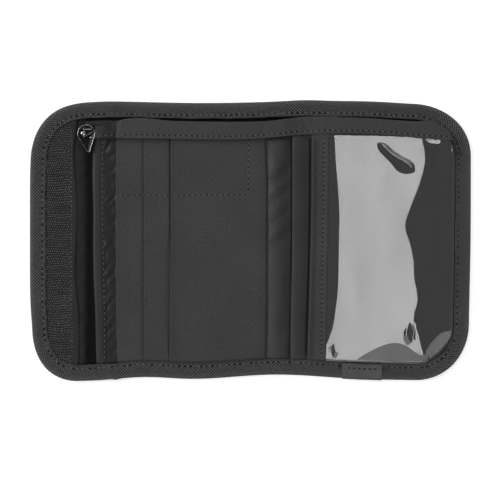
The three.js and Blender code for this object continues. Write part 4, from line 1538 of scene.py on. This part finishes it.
def tab():
    """Webbing folded round the lower binding, its two ends sewn down through it."""
    left, right = TAB_LOW[0], TAB_HIGH[0]
    inner = TAB_HIGH[1]
    profile = tab_profile()
    edge = np.array([0, 0.08, 0.3])
    xs = np.concatenate([left + edge, np.linspace(left + 0.9, right - 0.9, 22), right - edge[::-1]])
    x = np.repeat(xs[:, None], len(profile), 1)
    y = np.repeat(profile[None, :, 0], len(xs), 0)
    z = np.repeat(profile[None, :, 1], len(xs), 0)
    from_end = np.minimum(x - left, right - x)
    upper = smooth((z - 1.6) / 1.5)
    z = z + 0.1 * bell(from_end, 0.5) * upper + 0.05 * ripple(x, y, 4, 97) * upper
    z = z + 0.55 * upper * smooth((y - inner + 1.2) / 1.2)
    z = z + 0.5 * upper * smooth((x - right + 6) / 6) * smooth((y - inner + 3) / 3)
    thick = np.where(profile[None, :, 1] < 0.3, 0.24, 0.42)
    thick = thick * np.sqrt(np.clip((from_end + 0.04) / 0.25, 0.1, 1))
    run = travel(profile)
    uv = np.stack([x, np.broadcast_to(run[None], x.shape)], -1)
    piece = sheet_solid("webbing_tab", x, y, z, thick, WEBBING, uv)
    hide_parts("attachment_tab")
    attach(piece, "right_panel")
    path = [(left + 1.0, inner - 2.4), (right - 1.0, inner - 2.4)]
    height = lambda x, y: np.full(len(x), TAB_HIGH[2] + 0.27)
    seam = stitches("tab_stitches", path, height, pitch=2.7, length=1.5, width=0.55, hole=0.95)
    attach(seam, "right_panel")


# Studio ------------------------------------------------------------------------------------------------


def area_light(name, place, aim, size, power):
    light = bpy.data.lights.new(name, "AREA")
    light.shape = "RECTANGLE"
    light.size, light.size_y = size
    light.energy = power
    lamp = bpy.data.objects.new(name, light)
    bpy.context.scene.collection.objects.link(lamp)
    lamp.location = place
    lamp.rotation_euler = (Vector(aim) - Vector(place)).to_track_quat("-Z", "Y").to_euler()
    lamp.visible_camera = False
    return lamp


def world_light():
    world = bpy.data.worlds.new("soft_room")
    bpy.context.scene.world = world
    world.use_nodes = True
    background = world.node_tree.nodes["Background"]
    background.inputs[0].default_value = (1, 1, 1, 1)
    background.inputs[1].default_value = 0.1


def studio_floor():
    """A pale floor just under the wallet."""
    s = Shader("pale_floor")
    at = s.add("NewGeometry").outputs[0]
    cloud = s.add("TexNoise", Vector=at, Scale=3.0).outputs[0]
    s.finish(
        Base_Color=s.grey(s.ramp(cloud, 0.9, 0.93)), Roughness=0.9, Specular_IOR_Level=0.0,
        Emission_Color=(1, 1, 1, 1), Emission_Strength=0.4,
    )
    mesh = bpy.data.meshes.new("studio_floor")
    far = 6.0
    mesh.from_pydata([(-far, -far, 0), (far, -far, 0), (far, far, 0), (-far, far, 0)], [], [(0, 1, 2, 3)])
    mesh.materials.append(s.material)
    floor = bpy.data.objects.new("studio_floor", mesh)
    floor.location = (0, 0, -0.0002)
    bpy.context.scene.collection.objects.link(floor)


def studio_lights():
    """The overhead panel that the film mirrors, a card beside it for the film's lower edge, and softboxes."""
    panel_x = np.array([MIRROR_LEFT, MIRROR_RIGHT]) * MIRROR_GROWTH * MM
    panel_low = (MIRROR_LOW + (MIRROR_LOW - CAMERA_Y) * (MIRROR_GROWTH - 1)) * MM
    panel_high = 0.17
    height = PANEL_HEIGHT * MM
    x, y = panel_x.mean(), (panel_high + panel_low) / 2
    size = (panel_x[1] - panel_x[0], panel_high - panel_low)
    area_light("overhead_panel", (x, y, height), (x, y, 0), size, 0.395)
    card = (0.8, 0.4)
    x, y = 0.25, panel_low - card[1] / 2
    area_light("front_card", (x, y, height), (x, y, 0), card, 1.4)
    middle = (0, 0, 0)
    area_light("left_softbox", (-1.2, 0.45, 0.8), middle, (0.9, 0.9), 20.0)
    right = area_light("right_softbox", (1.2, -0.3, 0.9), middle, (0.9, 0.9), 7.5)
    right.visible_glossy = False
    area_light("back_softbox", (0.2, 1.2, 0.9), middle, (0.9, 0.6), 4.5)
    area_light("front_softbox", (0.0, -1.15, 0.8), middle, (0.9, 0.6), 2.4)


def studio():
    scene = bpy.context.scene
    scene.view_settings.view_transform = "Standard"
    scene.view_settings.look = "None"
    world_light()
    studio_floor()
    studio_lights()
    camera = bpy.data.cameras.new("camera")
    camera.sensor_width = 36.0
    wallet_z = 3.0
    frame_width = 275.7
    camera.lens = camera.sensor_width * (CAMERA_HEIGHT - wallet_z) / frame_width
    camera.clip_end = 20.0
    eye = bpy.data.objects.new("camera", camera)
    scene.collection.objects.link(eye)
    eye.location = (0, CAMERA_Y * MM, CAMERA_HEIGHT * MM)
    scene.camera = eye


binding()
base_sheets()
divider()
pouch_front()
card_slots()
passport_pocket()
window_film()
window_strip()
cover_strip()
zip_parts()
slider_body()
slider_crown()
puller()
end_stop()
hooks()
loops()
tab()
studio()
